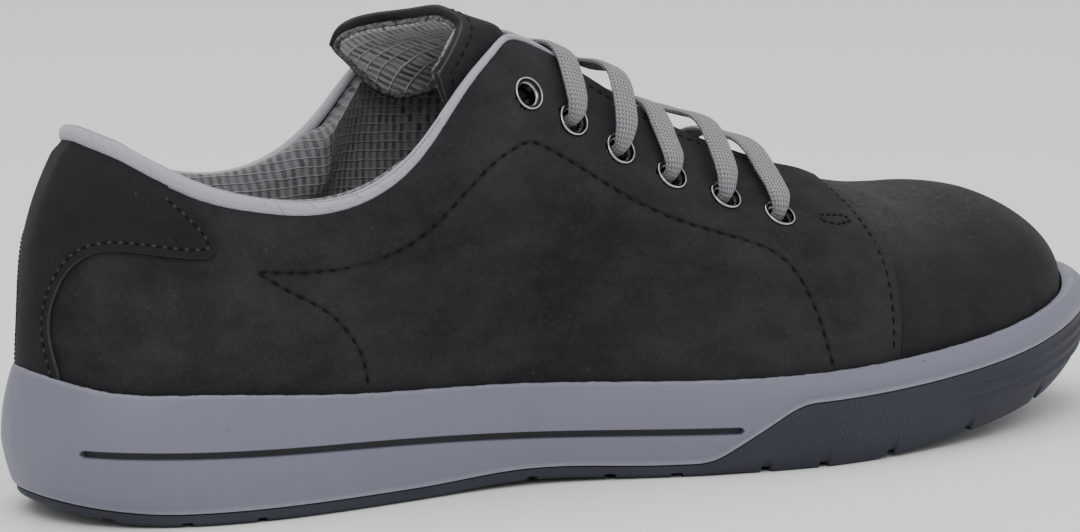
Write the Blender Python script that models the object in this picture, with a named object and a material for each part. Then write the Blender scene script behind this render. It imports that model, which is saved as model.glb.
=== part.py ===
"""Low safety sneaker, right foot, modelled in metres with +Z up and the toe towards +X.

Seen from the heel, the outer side of the foot is at -Y and the inner side at +Y.
Every surface above and below the rim of the cup sole is lofted over one row of stations,
which run from the heel (share 0) to the toe (share 1) on both sides of the foot.
"""
import math

import bmesh
import bpy
import numpy as np
from mathutils import Matrix, Vector

# Overall sizes
SOLE_LENGTH = 0.307
SOLE_WIDTH = 0.106
RIM_HEIGHT = 0.0375
FACING_HEIGHT = 0.1125
HEEL_LIFT = 0.0035
TOE_SPRING = 0.0135
ARCH_RISE = 0.0012

# Outsole
OUTSOLE_EDGE = 0.0033
OUTSOLE_PLATE = 0.0022
OUTSOLE_WALL = 0.0030
FOXING_HEIGHT = 0.0072
RIB_HEIGHT = 0.0006
EDGE_ROUND = 0.0020
TOE_DRAFT = 0.0060
HEEL_DRAFT = 0.0030
HEEL_TUCK = 0.0016
TREAD_DEPTH = 0.0016
TREAD_SLOT = 0.0034

# Midsole
RIM_INSET = 0.0020
TOE_BUMPER = 0.0020
HEEL_SWELL = 0.0014
LIP_WIDTH = 0.0015
CUP_DEPTH = 0.0110
FORE_CUP_DEPTH = 0.0062
GROOVE_WIDTH = 0.0017
GROOVE_DEPTH = 0.0012
FOOT_FILLET = 0.0014

# Upper, tongue and insole
CLEARANCE = 0.0003
CUP_FIT = 0.0007
LEAN_REACH = 0.0200
VAMP_WALL = 0.0020
QUARTER_STEP = 0.0013
COLLAR_PADDING = 0.0035
COUNTER_THICKNESS = 0.0012
COUNTER_GAP = 0.0008
TONGUE_THICKNESS = 0.0045
INSOLE_THICKNESS = 0.0040
INSOLE_ROUND = 0.0010
PIPING_RADIUS = 0.0017
COLLAR_ROLL = 0.0026
TONGUE_GAP = 0.0005

# Eyelets and laces
EYELET_BORE = 0.0054
EYELET_FLANGE = 0.0094
EYELET_LIP = 0.0008
EYELET_WALL = 0.0003
LACE_WIDTH = 0.0068
LACE_THICKNESS = 0.0017

# Mesh density
COUNTER_STEPS = 6
EYELET_STEPS = 8
SIDE_STEPS = 34
WALL_STEPS = 8

# Plan of the sole: share of the length, share of the width, outer side of the foot
OUTER_PLAN = (
    (0.0000, 0.000), (0.0065, 0.104), (0.0228, 0.189), (0.0684, 0.288), (0.1530, 0.357),
    (0.2830, 0.344), (0.4140, 0.330), (0.5440, 0.453), (0.6580, 0.528), (0.7560, 0.503),
    (0.8530, 0.434), (0.9020, 0.371), (0.9450, 0.282), (0.9800, 0.166), (1.0000, 0.000),
)
# The same for the inner side of the foot
INNER_PLAN = (
    (0.0000, 0.000), (0.0065, 0.104), (0.0228, 0.189), (0.0684, 0.283), (0.1530, 0.344),
    (0.2830, 0.316), (0.4140, 0.295), (0.5440, 0.373), (0.6580, 0.450), (0.7230, 0.472),
    (0.8050, 0.455), (0.8760, 0.415), (0.9350, 0.333), (0.9770, 0.210), (1.0000, 0.000),
)
# Top of the midsole wall: share of the length, share of the rim height
RIM_LINE = (
    (0.000, 1.000), (0.029, 0.928), (0.112, 0.869), (0.228, 0.787), (0.362, 0.715),
    (0.485, 0.664), (0.603, 0.645), (0.691, 0.659), (0.798, 0.710), (0.883, 0.795),
    (0.941, 0.880), (1.000, 0.955),
)
# The groove along the midsole: share of the length, share of the rim height
GROOVE_LINE = (
    (0.026, 0.512), (0.104, 0.480), (0.266, 0.425), (0.417, 0.346), (0.5775, 0.304),
)
# Quarter sections: share of the length at the rim, then the top point as shares of the
# length, width and facing height, then lean in degrees and pull at the rim and at the top
QUARTER_SECTIONS = (
    (0.0000, 0.0586, 0.000, 0.825, -2.0, 0.42, 32.0, 0.38),
    (0.0098, 0.0635, 0.085, 0.816, -1.0, 0.42, 30.0, 0.38),
    (0.0390, 0.0814, 0.156, 0.785, 2.0, 0.42, 26.0, 0.38),
    (0.0880, 0.1205, 0.217, 0.721, 6.0, 0.40, 21.0, 0.38),
    (0.1600, 0.1760, 0.259, 0.672, 8.0, 0.40, 15.0, 0.38),
    (0.2440, 0.2510, 0.288, 0.662, 9.0, 0.40, 11.0, 0.38),
    (0.3090, 0.3175, 0.297, 0.757, 8.0, 0.40, 13.0, 0.38),
    (0.3616, 0.3680, 0.278, 0.910, 6.0, 0.42, 20.0, 0.38),
    (0.3910, 0.3990, 0.236, 0.975, 4.0, 0.44, 30.0, 0.36),
    (0.4137, 0.4220, 0.184, 0.997, 3.0, 0.46, 42.0, 0.34),
    (0.4330, 0.4430, 0.167, 0.976, 3.0, 0.46, 46.0, 0.34),
    (0.5110, 0.5240, 0.146, 0.842, 4.0, 0.48, 52.0, 0.36),
    (0.5990, 0.6100, 0.123, 0.717, 6.0, 0.50, 60.0, 0.38),
    (0.6840, 0.6940, 0.104, 0.630, 8.0, 0.50, 68.0, 0.40),
    (0.7313, 0.7300, 0.091, 0.597, 8.0, 0.50, 74.0, 0.42),
)
# The same for the vamp and toe in front of the quarters
TOE_SECTIONS = (
    (0.7332, 0.7322, 0.089, 0.597, 8.0, 0.49, 76.0, 0.42),
    (0.7460, 0.7400, 0.045, 0.595, 8.0, 0.46, 84.0, 0.43),
    (0.7600, 0.7480, 0.000, 0.592, 8.0, 0.43, 90.0, 0.44),
    (0.7980, 0.7720, 0.000, 0.583, 7.0, 0.36, 90.0, 0.45),
    (0.8370, 0.7915, 0.000, 0.575, 6.0, 0.30, 90.0, 0.45),
    (0.9020, 0.7980, 0.000, 0.571, 5.0, 0.25, 90.0, 0.44),
    (1.0000, 0.7980, 0.000, 0.571, 3.0, 0.22, 90.0, 0.43),
)

# Edge of the heel counter on the outer and inner side: rise on the wall, share of the length
COUNTER_EDGE = (
    (0.015, 0.011), (0.13, 0.007), (0.26, 0.008), (0.40, 0.014), (0.49, 0.022), (0.56, 0.035),
    (0.61, 0.056), (0.645, 0.090), (0.675, 0.116), (0.72, 0.119), (0.80, 0.105), (0.90, 0.084),
    (0.975, 0.072),
)
# Eyelets from the top of the facing down: share of the length, rise on the wall
EYELETS = (
    (0.419, 0.803), (0.459, 0.766), (0.500, 0.736), (0.545, 0.707), (0.592, 0.672), (0.637, 0.625),
)
# How high each lace bar stands over the facing, from the second row of eyelets down, in
# thicknesses of the lace
LACE_RISE = (0.00, 1.88, 0.00, 1.65, 0.65)
# Free rows at the top of the tongue: centre and height of the ridge, half width, place and
# height of the edge, as shares of the length, facing height and sole width
TONGUE_TOP = (
    (0.394, 1.046, 0.250, 0.334, 0.938), (0.402, 1.030, 0.242, 0.360, 0.915),
    (0.413, 1.012, 0.228, 0.388, 0.880),
)
# Stations of the tongue along the throat, and its foot under the vamp
TONGUE_STATIONS = (0.433, 0.475, 0.525, 0.575, 0.625, 0.675, 0.715)
TONGUE_FOOT = (
    (0.738, 0.548, 0.130, 0.738, 0.528), (0.762, 0.536, 0.110, 0.762, 0.518),
)
# How far down the wall the tongue's edges lie, its rise at the middle as a share of the
# throat's half width, and where the piping ends
TONGUE_TUCK = 0.84
TONGUE_CROWN = 0.16
PIPING_END = 0.404
# Tread slots across the sole: share of the length, outer end at 0 and inner end at 1
HEEL_SLOTS = (0.040, 0.099, 0.160)
FORE_SLOTS = (0.409, 0.472, 0.524, 0.596, 0.648, 0.715, 0.799, 0.888)


def cubic(knots, values, start=None, end=None):
    """Return a cubic spline through the values, natural or with the end slopes given."""
    knots = np.asarray(knots, float)
    values = np.asarray(values, float)
    flat = values.reshape(len(knots), -1)
    steps = np.diff(knots)
    slopes = np.diff(flat, axis=0) / steps[:, None]
    size = len(knots)
    matrix = np.zeros((size, size))
    right = np.zeros_like(flat)
    for i in range(1, size - 1):
        matrix[i, i - 1:i + 2] = steps[i - 1], 2 * (steps[i - 1] + steps[i]), steps[i]
        right[i] = 6 * (slopes[i] - slopes[i - 1])
    matrix[0, 0] = matrix[-1, -1] = 1.0
    if start is not None:
        matrix[0, :2] = 2 * steps[0], steps[0]
        right[0] = 6 * (slopes[0] - np.asarray(start, float))
    if end is not None:
        matrix[-1, -2:] = steps[-1], 2 * steps[-1]
        right[-1] = 6 * (np.asarray(end, float) - slopes[-1])
    bend = np.linalg.solve(matrix, right)

    def evaluate(at):
        at = np.clip(np.asarray(at, float), knots[0], knots[-1])
        i = np.clip(np.searchsorted(knots, at, side="right") - 1, 0, size - 2)
        a = (at - knots[i])[..., None]
        b = (knots[i + 1] - at)[..., None]
        h = steps[i][..., None]
        low = flat[i] / h - bend[i] * h / 6
        high = flat[i + 1] / h - bend[i + 1] * h / 6
        out = (bend[i] * b ** 3 + bend[i + 1] * a ** 3) / (6 * h) + low * b + high * a
        return out.reshape(at.shape + values.shape[1:])

    return evaluate


def ramp(at, low, high):
    """Return a smooth rise from 0 at low to 1 at high."""
    share = np.clip((at - low) / (high - low), 0.0, 1.0)
    return share * share * (3 - 2 * share)


def plan_curve(rows, side):
    """Return the plan points and outward normals of one side as functions of a length share."""
    points = np.array(rows) * (SOLE_LENGTH, side * SOLE_WIDTH)
    chords = np.hypot(*np.diff(points, axis=0).T)
    along = np.concatenate(([0.0], np.cumsum(chords)))
    curve = cubic(along, points, start=(0.0, side), end=(0.0, -side))
    fine = np.linspace(0.0, along[-1], 4001)
    dense = curve(fine)
    tangent = np.gradient(dense, fine, axis=0)
    normal = np.stack((tangent[:, 1], -tangent[:, 0]), axis=1) * -side
    normal /= np.linalg.norm(normal, axis=1)[:, None]
    rise = np.maximum.accumulate(dense[:, 0]) + np.arange(4001) * 1e-12

    def at(share):
        place = np.interp(np.asarray(share) * SOLE_LENGTH, rise, fine)
        xy = curve(place)
        out = np.stack([np.interp(place, fine, normal[:, k]) for k in (0, 1)], axis=-1)
        return xy, out / np.linalg.norm(out, axis=-1)[..., None]

    return at


OUTER_SIDE = plan_curve(OUTER_PLAN, -1)
INNER_SIDE = plan_curve(INNER_PLAN, 1)


def stations(anchors):
    """Return length shares from heel to toe, close at both ends, with the anchors among them."""
    rule = (1 - np.cos(np.pi * np.arange(SIDE_STEPS + 1) / SIDE_STEPS)) / 2
    near = 0.010
    kept = [s for s in rule if all(abs(s - a) > near for a in anchors) or s in (0.0, 1.0)]
    return np.array(sorted(kept + list(anchors)))


def loop_of(shares):
    """Return plan points and normals once round the shoe: heel, outer side, toe, inner side."""
    outer, outer_normal = OUTER_SIDE(shares)
    inner, inner_normal = INNER_SIDE(shares)
    points = np.concatenate((outer, inner[-2:0:-1]))
    normals = np.concatenate((outer_normal, inner_normal[-2:0:-1]))
    return points, normals


def both(shares):
    """Return the length share of every point of the loop."""
    return np.concatenate((shares, shares[-2:0:-1]))


def ground(share):
    """Return the height of the tread face above the floor."""
    heel = HEEL_LIFT * np.clip(1 - share / 0.10, 0, 1) ** 2
    toe = TOE_SPRING * np.clip((share - 0.65) / 0.35, 0, 1) ** 1.6
    arch = ARCH_RISE * np.sin(np.pi * np.clip((share - 0.30) / 0.22, 0, 1)) ** 2
    return heel + toe + arch


RIM = cubic([r[0] for r in RIM_LINE], [r[1] for r in RIM_LINE])
GROOVE = cubic([r[0] for r in GROOVE_LINE], [r[1] for r in GROOVE_LINE])
# Where the outsole climbs the side wall, and where it is fully up
CLIMB_START, CLIMB_END = 0.552, 0.627


def rim(share):
    """Return the height of the top of the midsole wall."""
    return RIM_HEIGHT * RIM(share)


def rim_inset(share):
    """Return how far the top of the midsole wall stands inside its widest line."""
    return RIM_INSET + TOE_BUMPER * ramp(share, 0.93, 1.0)


def joint_line(share):
    """Return the height at which the outsole's wall meets the midsole."""
    low = ground(share) + OUTSOLE_EDGE
    high = rim(share) - FOXING_HEIGHT
    climb = np.clip((share - CLIMB_START) / (CLIMB_END - CLIMB_START), 0, 1)
    return low + (high - low) * climb


def heel_tuck(share):
    """Return how far the sole draws in where outsole and midsole meet at the heel."""
    return HEEL_TUCK * (1 - ramp(share, 0.02, 0.14))


def heel_swell(share):
    """Return how far the midsole's wall swells past the plan at the back of the heel."""
    return HEEL_SWELL * (1 - ramp(share, 0.02, 0.14))


def toe_round(share):
    """Return how far the foot of the outsole's wall draws in at the toe and heel."""
    toe = TOE_DRAFT * np.clip((share - 0.80) / 0.20, 0, 1) ** 2
    return toe + HEEL_DRAFT * np.clip(1 - share / 0.06, 0, 1)


# Front edge of the quarters, and the first station of the vamp beyond it
QUARTER_FRONT = QUARTER_SECTIONS[-1][0]
VAMP_START = TOE_SECTIONS[0][0]
# The stations whose top points lie on the closed ridge of the vamp
RIDGE_START = TOE_SECTIONS[2][0]
# From here on the toe's stations meet in one point
POLE = TOE_SECTIONS[-2][0]
QUARTER = cubic([r[0] for r in QUARTER_SECTIONS], [r[1:] for r in QUARTER_SECTIONS])
TOE = cubic([r[0] for r in TOE_SECTIONS], [r[1:] for r in TOE_SECTIONS])
CROWN = np.array((0.03, 0.0, 1.0)) / math.hypot(0.03, 1.0)


def upper_base(side, share):
    """Return the plan point and outward normal where the upper meets the rim."""
    xy, normal = (OUTER_SIDE if side < 0 else INNER_SIDE)(share)
    inset = rim_inset(share) + LIP_WIDTH + CUP_FIT
    return xy - normal * inset[..., None], normal


def leather(side, share, rise):
    """Return points of the upper's reference surface; rise runs from 0 at the rim to 1."""
    share = np.clip(np.asarray(share, float), 0.0, 1.0)
    rise = np.asarray(rise, float)[..., None]
    xy, normal = upper_base(side, share)
    base = np.concatenate((xy, rim(share)[..., None]), axis=-1)
    front = (share > QUARTER_FRONT)[..., None]
    row = np.where(front, TOE(share), QUARTER(share))
    crown = np.where(front, TOE(np.minimum(share, POLE)), QUARTER(share))
    reach = np.where(share < RIDGE_START, np.maximum(crown[..., 1], 0), 0)
    top = np.stack((crown[..., 0] * SOLE_LENGTH, side * reach * SOLE_WIDTH,
                    crown[..., 2] * FACING_HEIGHT), axis=-1)
    out = base[..., :2] - top[..., :2] + normal * LEAN_REACH
    out = out / np.linalg.norm(out, axis=-1)[..., None]
    span = np.linalg.norm(base - top, axis=-1)[..., None]
    low, high = np.radians(row[..., 3:4]), np.radians(row[..., 5:6])
    first = base + span * row[..., 4:5] * np.concatenate((out * np.sin(low), np.cos(low)), axis=-1)
    last = top + span * row[..., 6:7] * np.concatenate((out * np.sin(high), -np.cos(high)), axis=-1)
    a, b, c, d = (1 - rise) ** 3, 3 * rise * (1 - rise) ** 2, 3 * rise ** 2 * (1 - rise), rise ** 3
    return a * base + b * first + c * last + d * top


def leather_normal(side, share, rise):
    """Return unit normals of the reference surface, pointing away from the foot."""
    share = np.asarray(share, float)
    rise = np.asarray(rise, float)
    low = np.where(share > QUARTER_FRONT, VAMP_START, 0.0)
    high = np.where(share > QUARTER_FRONT, 1.0, QUARTER_FRONT)
    a, b = np.clip(share - 0.002, low, high), np.clip(share + 0.002, low, high)
    c, d = np.clip(rise - 0.02, 0, 1), np.clip(rise + 0.02, 0, 1)
    along = leather(side, b, rise) - leather(side, a, rise)
    up = leather(side, share, d) - leather(side, share, c)
    normal = np.cross(along, up) * -side
    size = np.linalg.norm(normal, axis=-1)[..., None]
    flat = (size < 1e-9) | ((share >= RIDGE_START) & (rise > 0.999))[..., None]
    return np.where(flat, CROWN, normal / np.where(flat, 1.0, size))


def heel_thinning(share):
    """Return the share of the collar's padding that is left towards the back of the heel."""
    return 0.2 + 0.8 * ramp(share, 0.0, 0.10)


def layers(side, share, rise):
    """Return points on the upper's outer face and on its inner face."""
    share, rise = np.broadcast_arrays(np.asarray(share, float), np.asarray(rise, float))
    middle = leather(side, share, rise)
    normal = leather_normal(side, share, rise)
    front = share > QUARTER_FRONT
    fade = (1 - ramp(share, VAMP_START, 1.0)) * (0.4 + 0.6 * ramp(rise, 0.0, 0.2))
    drop = np.where(front, QUARTER_STEP * fade, 0.0)
    pad = COLLAR_PADDING * (1 - ramp(share, 0.31, 0.37)) * ramp(rise, 0.50, 0.90)
    pad = pad * heel_thinning(share)
    wall = VAMP_WALL + np.where(front, 0.0, QUARTER_STEP + pad)
    outer = middle - normal * drop[..., None]
    inner = outer - normal * wall[..., None]
    return outer, inner, normal


def cup_floor(share):
    """Return the height of the floor inside the midsole's wall."""
    return rim(share) - CUP_DEPTH + (CUP_DEPTH - FORE_CUP_DEPTH) * ramp(share, 0.44, 0.55)


# Shift that puts the middle of the sole's box over the origin
PLAN = loop_of(np.linspace(0, 1, 2001))[0]
MIDDLE = np.array(((SOLE_LENGTH - HEEL_SWELL) / 2, (PLAN[:, 1].min() + PLAN[:, 1].max()) / 2, 0.0))

for item in list(bpy.data.objects):
    bpy.data.objects.remove(item, do_unlink=True)
SNEAKER = bpy.data.collections.new("safety_sneaker")
CUTTERS = bpy.data.collections.new("cutters")
bpy.context.scene.collection.children.link(SNEAKER)
bpy.context.scene.collection.children.link(CUTTERS)


def material(name, colour, roughness, metallic=0.0):
    """Return a Principled material."""
    made = bpy.data.materials.new(name)
    made.use_nodes = True
    shader = made.node_tree.nodes["Principled BSDF"]
    shader.inputs["Base Color"].default_value = (*colour, 1.0)
    shader.inputs["Roughness"].default_value = roughness
    shader.inputs["Metallic"].default_value = metallic
    return made


RUBBER = material("navy_rubber", (0.034, 0.043, 0.066), 0.75)
FOAM = material("grey_midsole", (0.21, 0.22, 0.27), 0.62)
NUBUCK = material("black_nubuck", (0.021, 0.021, 0.024), 0.85)
MESH = material("grey_lining", (0.085, 0.088, 0.095), 0.60)
TAPE = material("light_grey_piping", (0.40, 0.41, 0.44), 0.70)
BRAID = material("grey_lace", (0.28, 0.28, 0.30), 0.85)
STEEL = material("bright_metal", (0.62, 0.62, 0.62), 0.25, 1.0)


def add_object(name, mesh, look, collection=SNEAKER):
    """Link a mesh as a named object with its material."""
    made = bpy.data.objects.new(name, mesh)
    collection.objects.link(made)
    if look is not None:
        mesh.materials.append(look)
    return made


def skin(name, rings, look, closed=True, caps="strip", skip=None):
    """Loft a solid over rings with equally many points.

    A closed ring runs once round the section. caps="strip" spans the first and last ring with
    strips across the shoe, caps="flat" with one face, and caps="ring" joins last to first.
    skip(row, i) leaves out the face between two rings at one place.
    """
    made = bmesh.new()
    rows = [[made.verts.new(Vector(p - MIDDLE)) for p in ring] for ring in rings]
    count = len(rows[0])
    pairs = list(zip(rows[:-1], rows[1:]))
    if caps == "ring":
        pairs.append((rows[-1], rows[0]))
    for level, (low, high) in enumerate(pairs):
        for i in range(count if closed else count - 1):
            if skip and skip(level, i):
                continue
            j = (i + 1) % count
            made.faces.new((low[i], low[j], high[j], high[i]))
    if caps == "strip":
        half = count // 2
        for ring in (rows[0], rows[-1]):
            for i in range(half):
                left, right = (count - i) % count, count - i - 1
                corners = [ring[i], ring[i + 1], ring[right], ring[left]]
                corners = list(dict.fromkeys(corners))
                made.faces.new(corners)
    elif caps == "flat":
        made.faces.new(rows[0])
        made.faces.new(rows[-1])
    bmesh.ops.remove_doubles(made, verts=made.verts, dist=2e-6)
    bmesh.ops.dissolve_degenerate(made, edges=made.edges, dist=1e-6)
    bmesh.ops.recalc_face_normals(made, faces=made.faces)
    mesh = bpy.data.meshes.new(name)
    made.to_mesh(mesh)
    made.free()
    mesh.shade_smooth()
    mesh.set_sharp_from_angle(angle=math.radians(40))
    return add_object(name, mesh, look)


def sole_ring(shares, inset, height):
    """Return one closed ring of the sole at an inset from its widest line."""
    points, normals = loop_of(shares)
    inset = np.broadcast_to(inset, len(points))
    return np.column_stack((points - normals * inset[:, None], np.broadcast_to(height, len(points))))


def cut(target, cutter):
    """Subtract the cutter, which stays hidden, from the target."""
    cutter.hide_render = True
    cutter.display_type = "WIRE"
    step = target.modifiers.new(cutter.name, "BOOLEAN")
    step.operation = "DIFFERENCE"
    step.object = cutter


GROOVE_ENDS = (GROOVE_LINE[0][0], GROOVE_LINE[-1][0])
GROOVE_SLOPE = 0.003
SOLE_STATIONS = stations((
    GROOVE_ENDS[0], GROOVE_ENDS[0] + GROOVE_SLOPE, CLIMB_START,
    GROOVE_ENDS[1] - GROOVE_SLOPE, GROOVE_ENDS[1], CLIMB_END,
))


def outsole():
    """Build the rubber outsole: a plate whose wall climbs the side in front of the waist."""
    at = both(SOLE_STATIONS)
    low, top = ground(at), joint_line(at) - CLEARANCE / 2
    draft = toe_round(at)
    ribs = RIB_HEIGHT * ramp(at, 0.76, 0.84)
    # Height as a share of the wall, inset as a share of the edge round, draft left, rib
    profile = (
        (0.00, 1.00, 1.00, 0), (0.12, 0.40, 0.62, 0), (0.30, 0.05, 0.30, 0), (0.44, 0.00, 0.12, 0),
        (0.49, 0.00, 0.08, 1), (0.57, 0.00, 0.05, 1), (0.62, 0.00, 0.03, 0), (0.74, 0.00, 0.00, 0),
        (0.79, 0.00, 0.00, 1), (0.87, 0.00, 0.00, 1), (0.92, 0.00, 0.00, 0), (1.00, 0.00, 0.00, 0),
    )
    rings = []
    for share, rounding, drawn, rib in profile:
        inset = rounding * EDGE_ROUND + drawn * draft + RIB_HEIGHT - rib * ribs + heel_tuck(at)
        rings.append(sole_ring(SOLE_STATIONS, inset, low + (top - low) * share))
    inner = OUTSOLE_WALL + RIB_HEIGHT + heel_tuck(at)
    rings.append(sole_ring(SOLE_STATIONS, inner, top))
    rings.append(sole_ring(SOLE_STATIONS, inner + 0.3 * draft, low + OUTSOLE_PLATE))
    return skin("outsole", rings, RUBBER)


def midsole():
    """Build the cup sole: its foot nests in the outsole and its wall rises to the rim."""
    at = both(SOLE_STATIONS)
    foot = ground(at) + OUTSOLE_PLATE + CLEARANCE
    low, top = joint_line(at) + CLEARANCE / 2, rim(at)
    nest = OUTSOLE_WALL + RIB_HEIGHT + heel_tuck(at) + CLEARANCE
    there = (at > GROOVE_ENDS[0] + GROOVE_SLOPE / 2) & (at < GROOVE_ENDS[1] - GROOVE_SLOPE / 2)
    near = at <= GROOVE_ENDS[1]
    middle = np.where(near, RIM_HEIGHT * GROOVE(at), low + 0.40 * (top - low))
    half = np.where(near, GROOVE_WIDTH / 2, 0.05 * (top - low))
    depth = np.where(there, GROOVE_DEPTH, 0.0)
    edge = rim_inset(at)
    rings = [
        sole_ring(SOLE_STATIONS, nest + 0.3 * toe_round(at), foot),
        sole_ring(SOLE_STATIONS, nest, low),
    ]

    def wall(height, swell, tuck=0.0, deep=0.0):
        share = (height - low) / (top - low)
        inset = edge * np.clip((share - 0.40) / 0.60, 0, 1) ** 1.8
        inset = inset + tuck * (heel_tuck(at) + RIB_HEIGHT) - swell * heel_swell(at) + deep
        rings.append(sole_ring(SOLE_STATIONS, inset, height))

    wall(low, 0.0, 1.0)
    wall(low + FOOT_FILLET, 0.2, 0.55)
    wall(middle - half, 1.0)
    wall(middle - half, 1.0, 0.0, depth)
    wall(middle + half, 1.0, 0.0, depth)
    wall(middle + half, 1.0)
    for share, swell in ((0.40, 0.85), (0.72, 0.45), (0.94, 0.08)):
        wall(middle + half + share * (top - middle - half), swell)
    rings.append(sole_ring(SOLE_STATIONS, edge + 0.15 * LIP_WIDTH, top))
    rings.append(sole_ring(SOLE_STATIONS, edge + LIP_WIDTH, top))
    rings.append(sole_ring(SOLE_STATIONS, edge + LIP_WIDTH, cup_floor(at)))
    return skin("midsole", rings, FOAM)


def slots(target):
    """Cut the tread slots across the underside of the sole."""
    for number, share in enumerate(HEEL_SLOTS + FORE_SLOTS, 1):
        left, _ = OUTER_SIDE(share)
        right, _ = INNER_SIDE(share)
        made = bmesh.new()
        bmesh.ops.create_cube(made, size=1.0)
        mesh = bpy.data.meshes.new(f"tread_slot_{number}")
        made.to_mesh(mesh)
        made.free()
        slot = add_object(f"tread_slot_{number}", mesh, None, CUTTERS)
        height = float(ground(share))
        tilt = math.atan2(float(ground(share + 0.01) - ground(share - 0.01)), 0.02 * SOLE_LENGTH)
        slot.location = Vector((share * SOLE_LENGTH, (left[1] + right[1]) / 2, height)) - Vector(MIDDLE)
        slot.rotation_euler = (0.0, -tilt, 0.0)
        mesh.transform(Matrix.Diagonal((TREAD_SLOT, SOLE_WIDTH * 1.2, 2 * TREAD_DEPTH, 1.0)))
        cut(target, slot)


UPPER_STATIONS = stations((
    QUARTER_SECTIONS[8][0], QUARTER_SECTIONS[9][0], QUARTER_SECTIONS[10][0],
    QUARTER_FRONT, VAMP_START, TOE_SECTIONS[1][0], RIDGE_START,
))


def upper():
    """Build the hollow upper, open underneath, at the collar and along the throat."""
    count = len(UPPER_STATIONS)
    size = 2 * count - 2
    at = both(UPPER_STATIONS)
    sides = np.where(np.arange(size) < count, -1, 1)
    levels = np.linspace(0, 1, WALL_STEPS + 1)

    def ring(rise):
        parts = [layers(side, UPPER_STATIONS, rise) for side in (-1, 1)]
        return [np.concatenate((a, b[-2:0:-1])) for a, b in zip(*parts)]

    outer, inner = [], []
    for rise in levels:
        a, b, _ = ring(np.full(count, rise))
        outer.append(a)
        inner.append(b)
    base = []
    for face in (outer[0], inner[0]):
        foot = face.copy()
        foot[:, 2] = cup_floor(at) + CLEARANCE
        base.append(foot)
    # The padded collar rolls inwards over its top edge
    roll = COLLAR_ROLL * (1 - ramp(at, 0.27, 0.33)) * heel_thinning(at)
    edge = []
    for across, lift in ((0.54, 0.0), (0.68, 1.0), (0.90, 0.85)):
        row = outer[-1] + (inner[-1] - outer[-1]) * across
        row[:, 2] += roll * lift
        edge.append(row)
    rings = [base[0]] + outer + edge + inner[::-1] + [base[1]]
    closed = at >= RIDGE_START - 1e-9
    first, last = len(outer), len(outer) + len(edge)

    def skip(row, i):
        return first <= row <= last and closed[i] and closed[(i + 1) % size]

    return skin("upper", rings, NUBUCK, caps="ring", skip=skip)


def counter():
    """Build the heel counter, a raised patch round the back of the upper."""
    edge = cubic([r[0] for r in COUNTER_EDGE], [r[1] for r in COUNTER_EDGE])
    steps = np.linspace(0, 1, COUNTER_STEPS + 1) ** 2
    rings = []
    for rise in [r[0] for r in COUNTER_EDGE]:
        share = edge(rise) * steps
        points, normals = [], []
        for side in (-1, 1):
            face, _, normal = layers(side, share, np.full(len(share), rise))
            points.append(face)
            normals.append(normal)
        face = np.concatenate((points[0][::-1], points[1][1:]))
        normal = np.concatenate((normals[0][::-1], normals[1][1:]))
        low = face + normal * COUNTER_GAP
        high = face + normal * (COUNTER_GAP + COUNTER_THICKNESS)
        rings.append(np.concatenate((low, high[::-1])))
    return skin("heel_counter", rings, NUBUCK, caps="flat")


def frame_of(normal, along):
    """Return the rotation whose Z is the normal and whose X lies along the facing."""
    z = Vector(normal).normalized()
    x = Vector(along)
    x = (x - z * x.dot(z)).normalized()
    return Matrix((x, z.cross(x), z)).transposed()


def eyelet_place(side, number):
    """Return an eyelet's centre on the outer face, the normal there and the facing's direction."""
    share, rise = EYELETS[number]
    near = np.array((share - 0.004, share, share + 0.004))
    outer, inner, normal = layers(side, near, np.full(3, rise))
    return outer[1], normal[1], outer[2] - outer[0]


def turned(name, profile, steps, look, collection=SNEAKER):
    """Turn a closed profile of (radius, height) round Z."""
    made = bmesh.new()
    verts = [made.verts.new((r, 0.0, z)) for r, z in profile]
    edges = [made.edges.new((a, b)) for a, b in zip(verts, verts[1:] + verts[:1])]
    bmesh.ops.spin(
        made, geom=verts + edges, cent=(0, 0, 0), axis=(0, 0, 1), angle=2 * math.pi,
        steps=steps, use_merge=True,
    )
    bmesh.ops.remove_doubles(made, verts=made.verts, dist=1e-6)
    bmesh.ops.recalc_face_normals(made, faces=made.faces)
    mesh = bpy.data.meshes.new(name)
    made.to_mesh(mesh)
    made.free()
    mesh.shade_smooth()
    return add_object(name, mesh, look, collection)


def eyelets(shell):
    """Cut the lace holes and set a metal eyelet in each."""
    barrel = VAMP_WALL + QUARTER_STEP
    bore, flange = EYELET_BORE / 2, EYELET_FLANGE / 2
    tube = bore + EYELET_WALL
    profile = (
        (bore, -barrel), (tube, -barrel), (tube, CLEARANCE), (flange, CLEARANCE),
        ((bore + flange) / 2, CLEARANCE + EYELET_LIP), (bore, CLEARANCE + EYELET_LIP * 0.5),
    )
    holes = bmesh.new()
    for side, word in ((-1, "outer"), (1, "inner")):
        for number in range(len(EYELETS)):
            centre, normal, along = eyelet_place(side, number)
            place = frame_of(normal, along).to_4x4()
            place.translation = Vector(centre - MIDDLE)
            ring = turned(f"eyelet_{word}_{number + 1}", profile, EYELET_STEPS, STEEL)
            ring.matrix_world = place
            bmesh.ops.create_cone(
                holes, cap_ends=True, segments=EYELET_STEPS, radius1=tube + 2 * CLEARANCE,
                radius2=tube + 2 * CLEARANCE, depth=4 * barrel, matrix=place,
            )
    mesh = bpy.data.meshes.new("lace_holes")
    holes.to_mesh(mesh)
    holes.free()
    cut(shell, add_object("lace_holes", mesh, None, CUTTERS))


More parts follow.
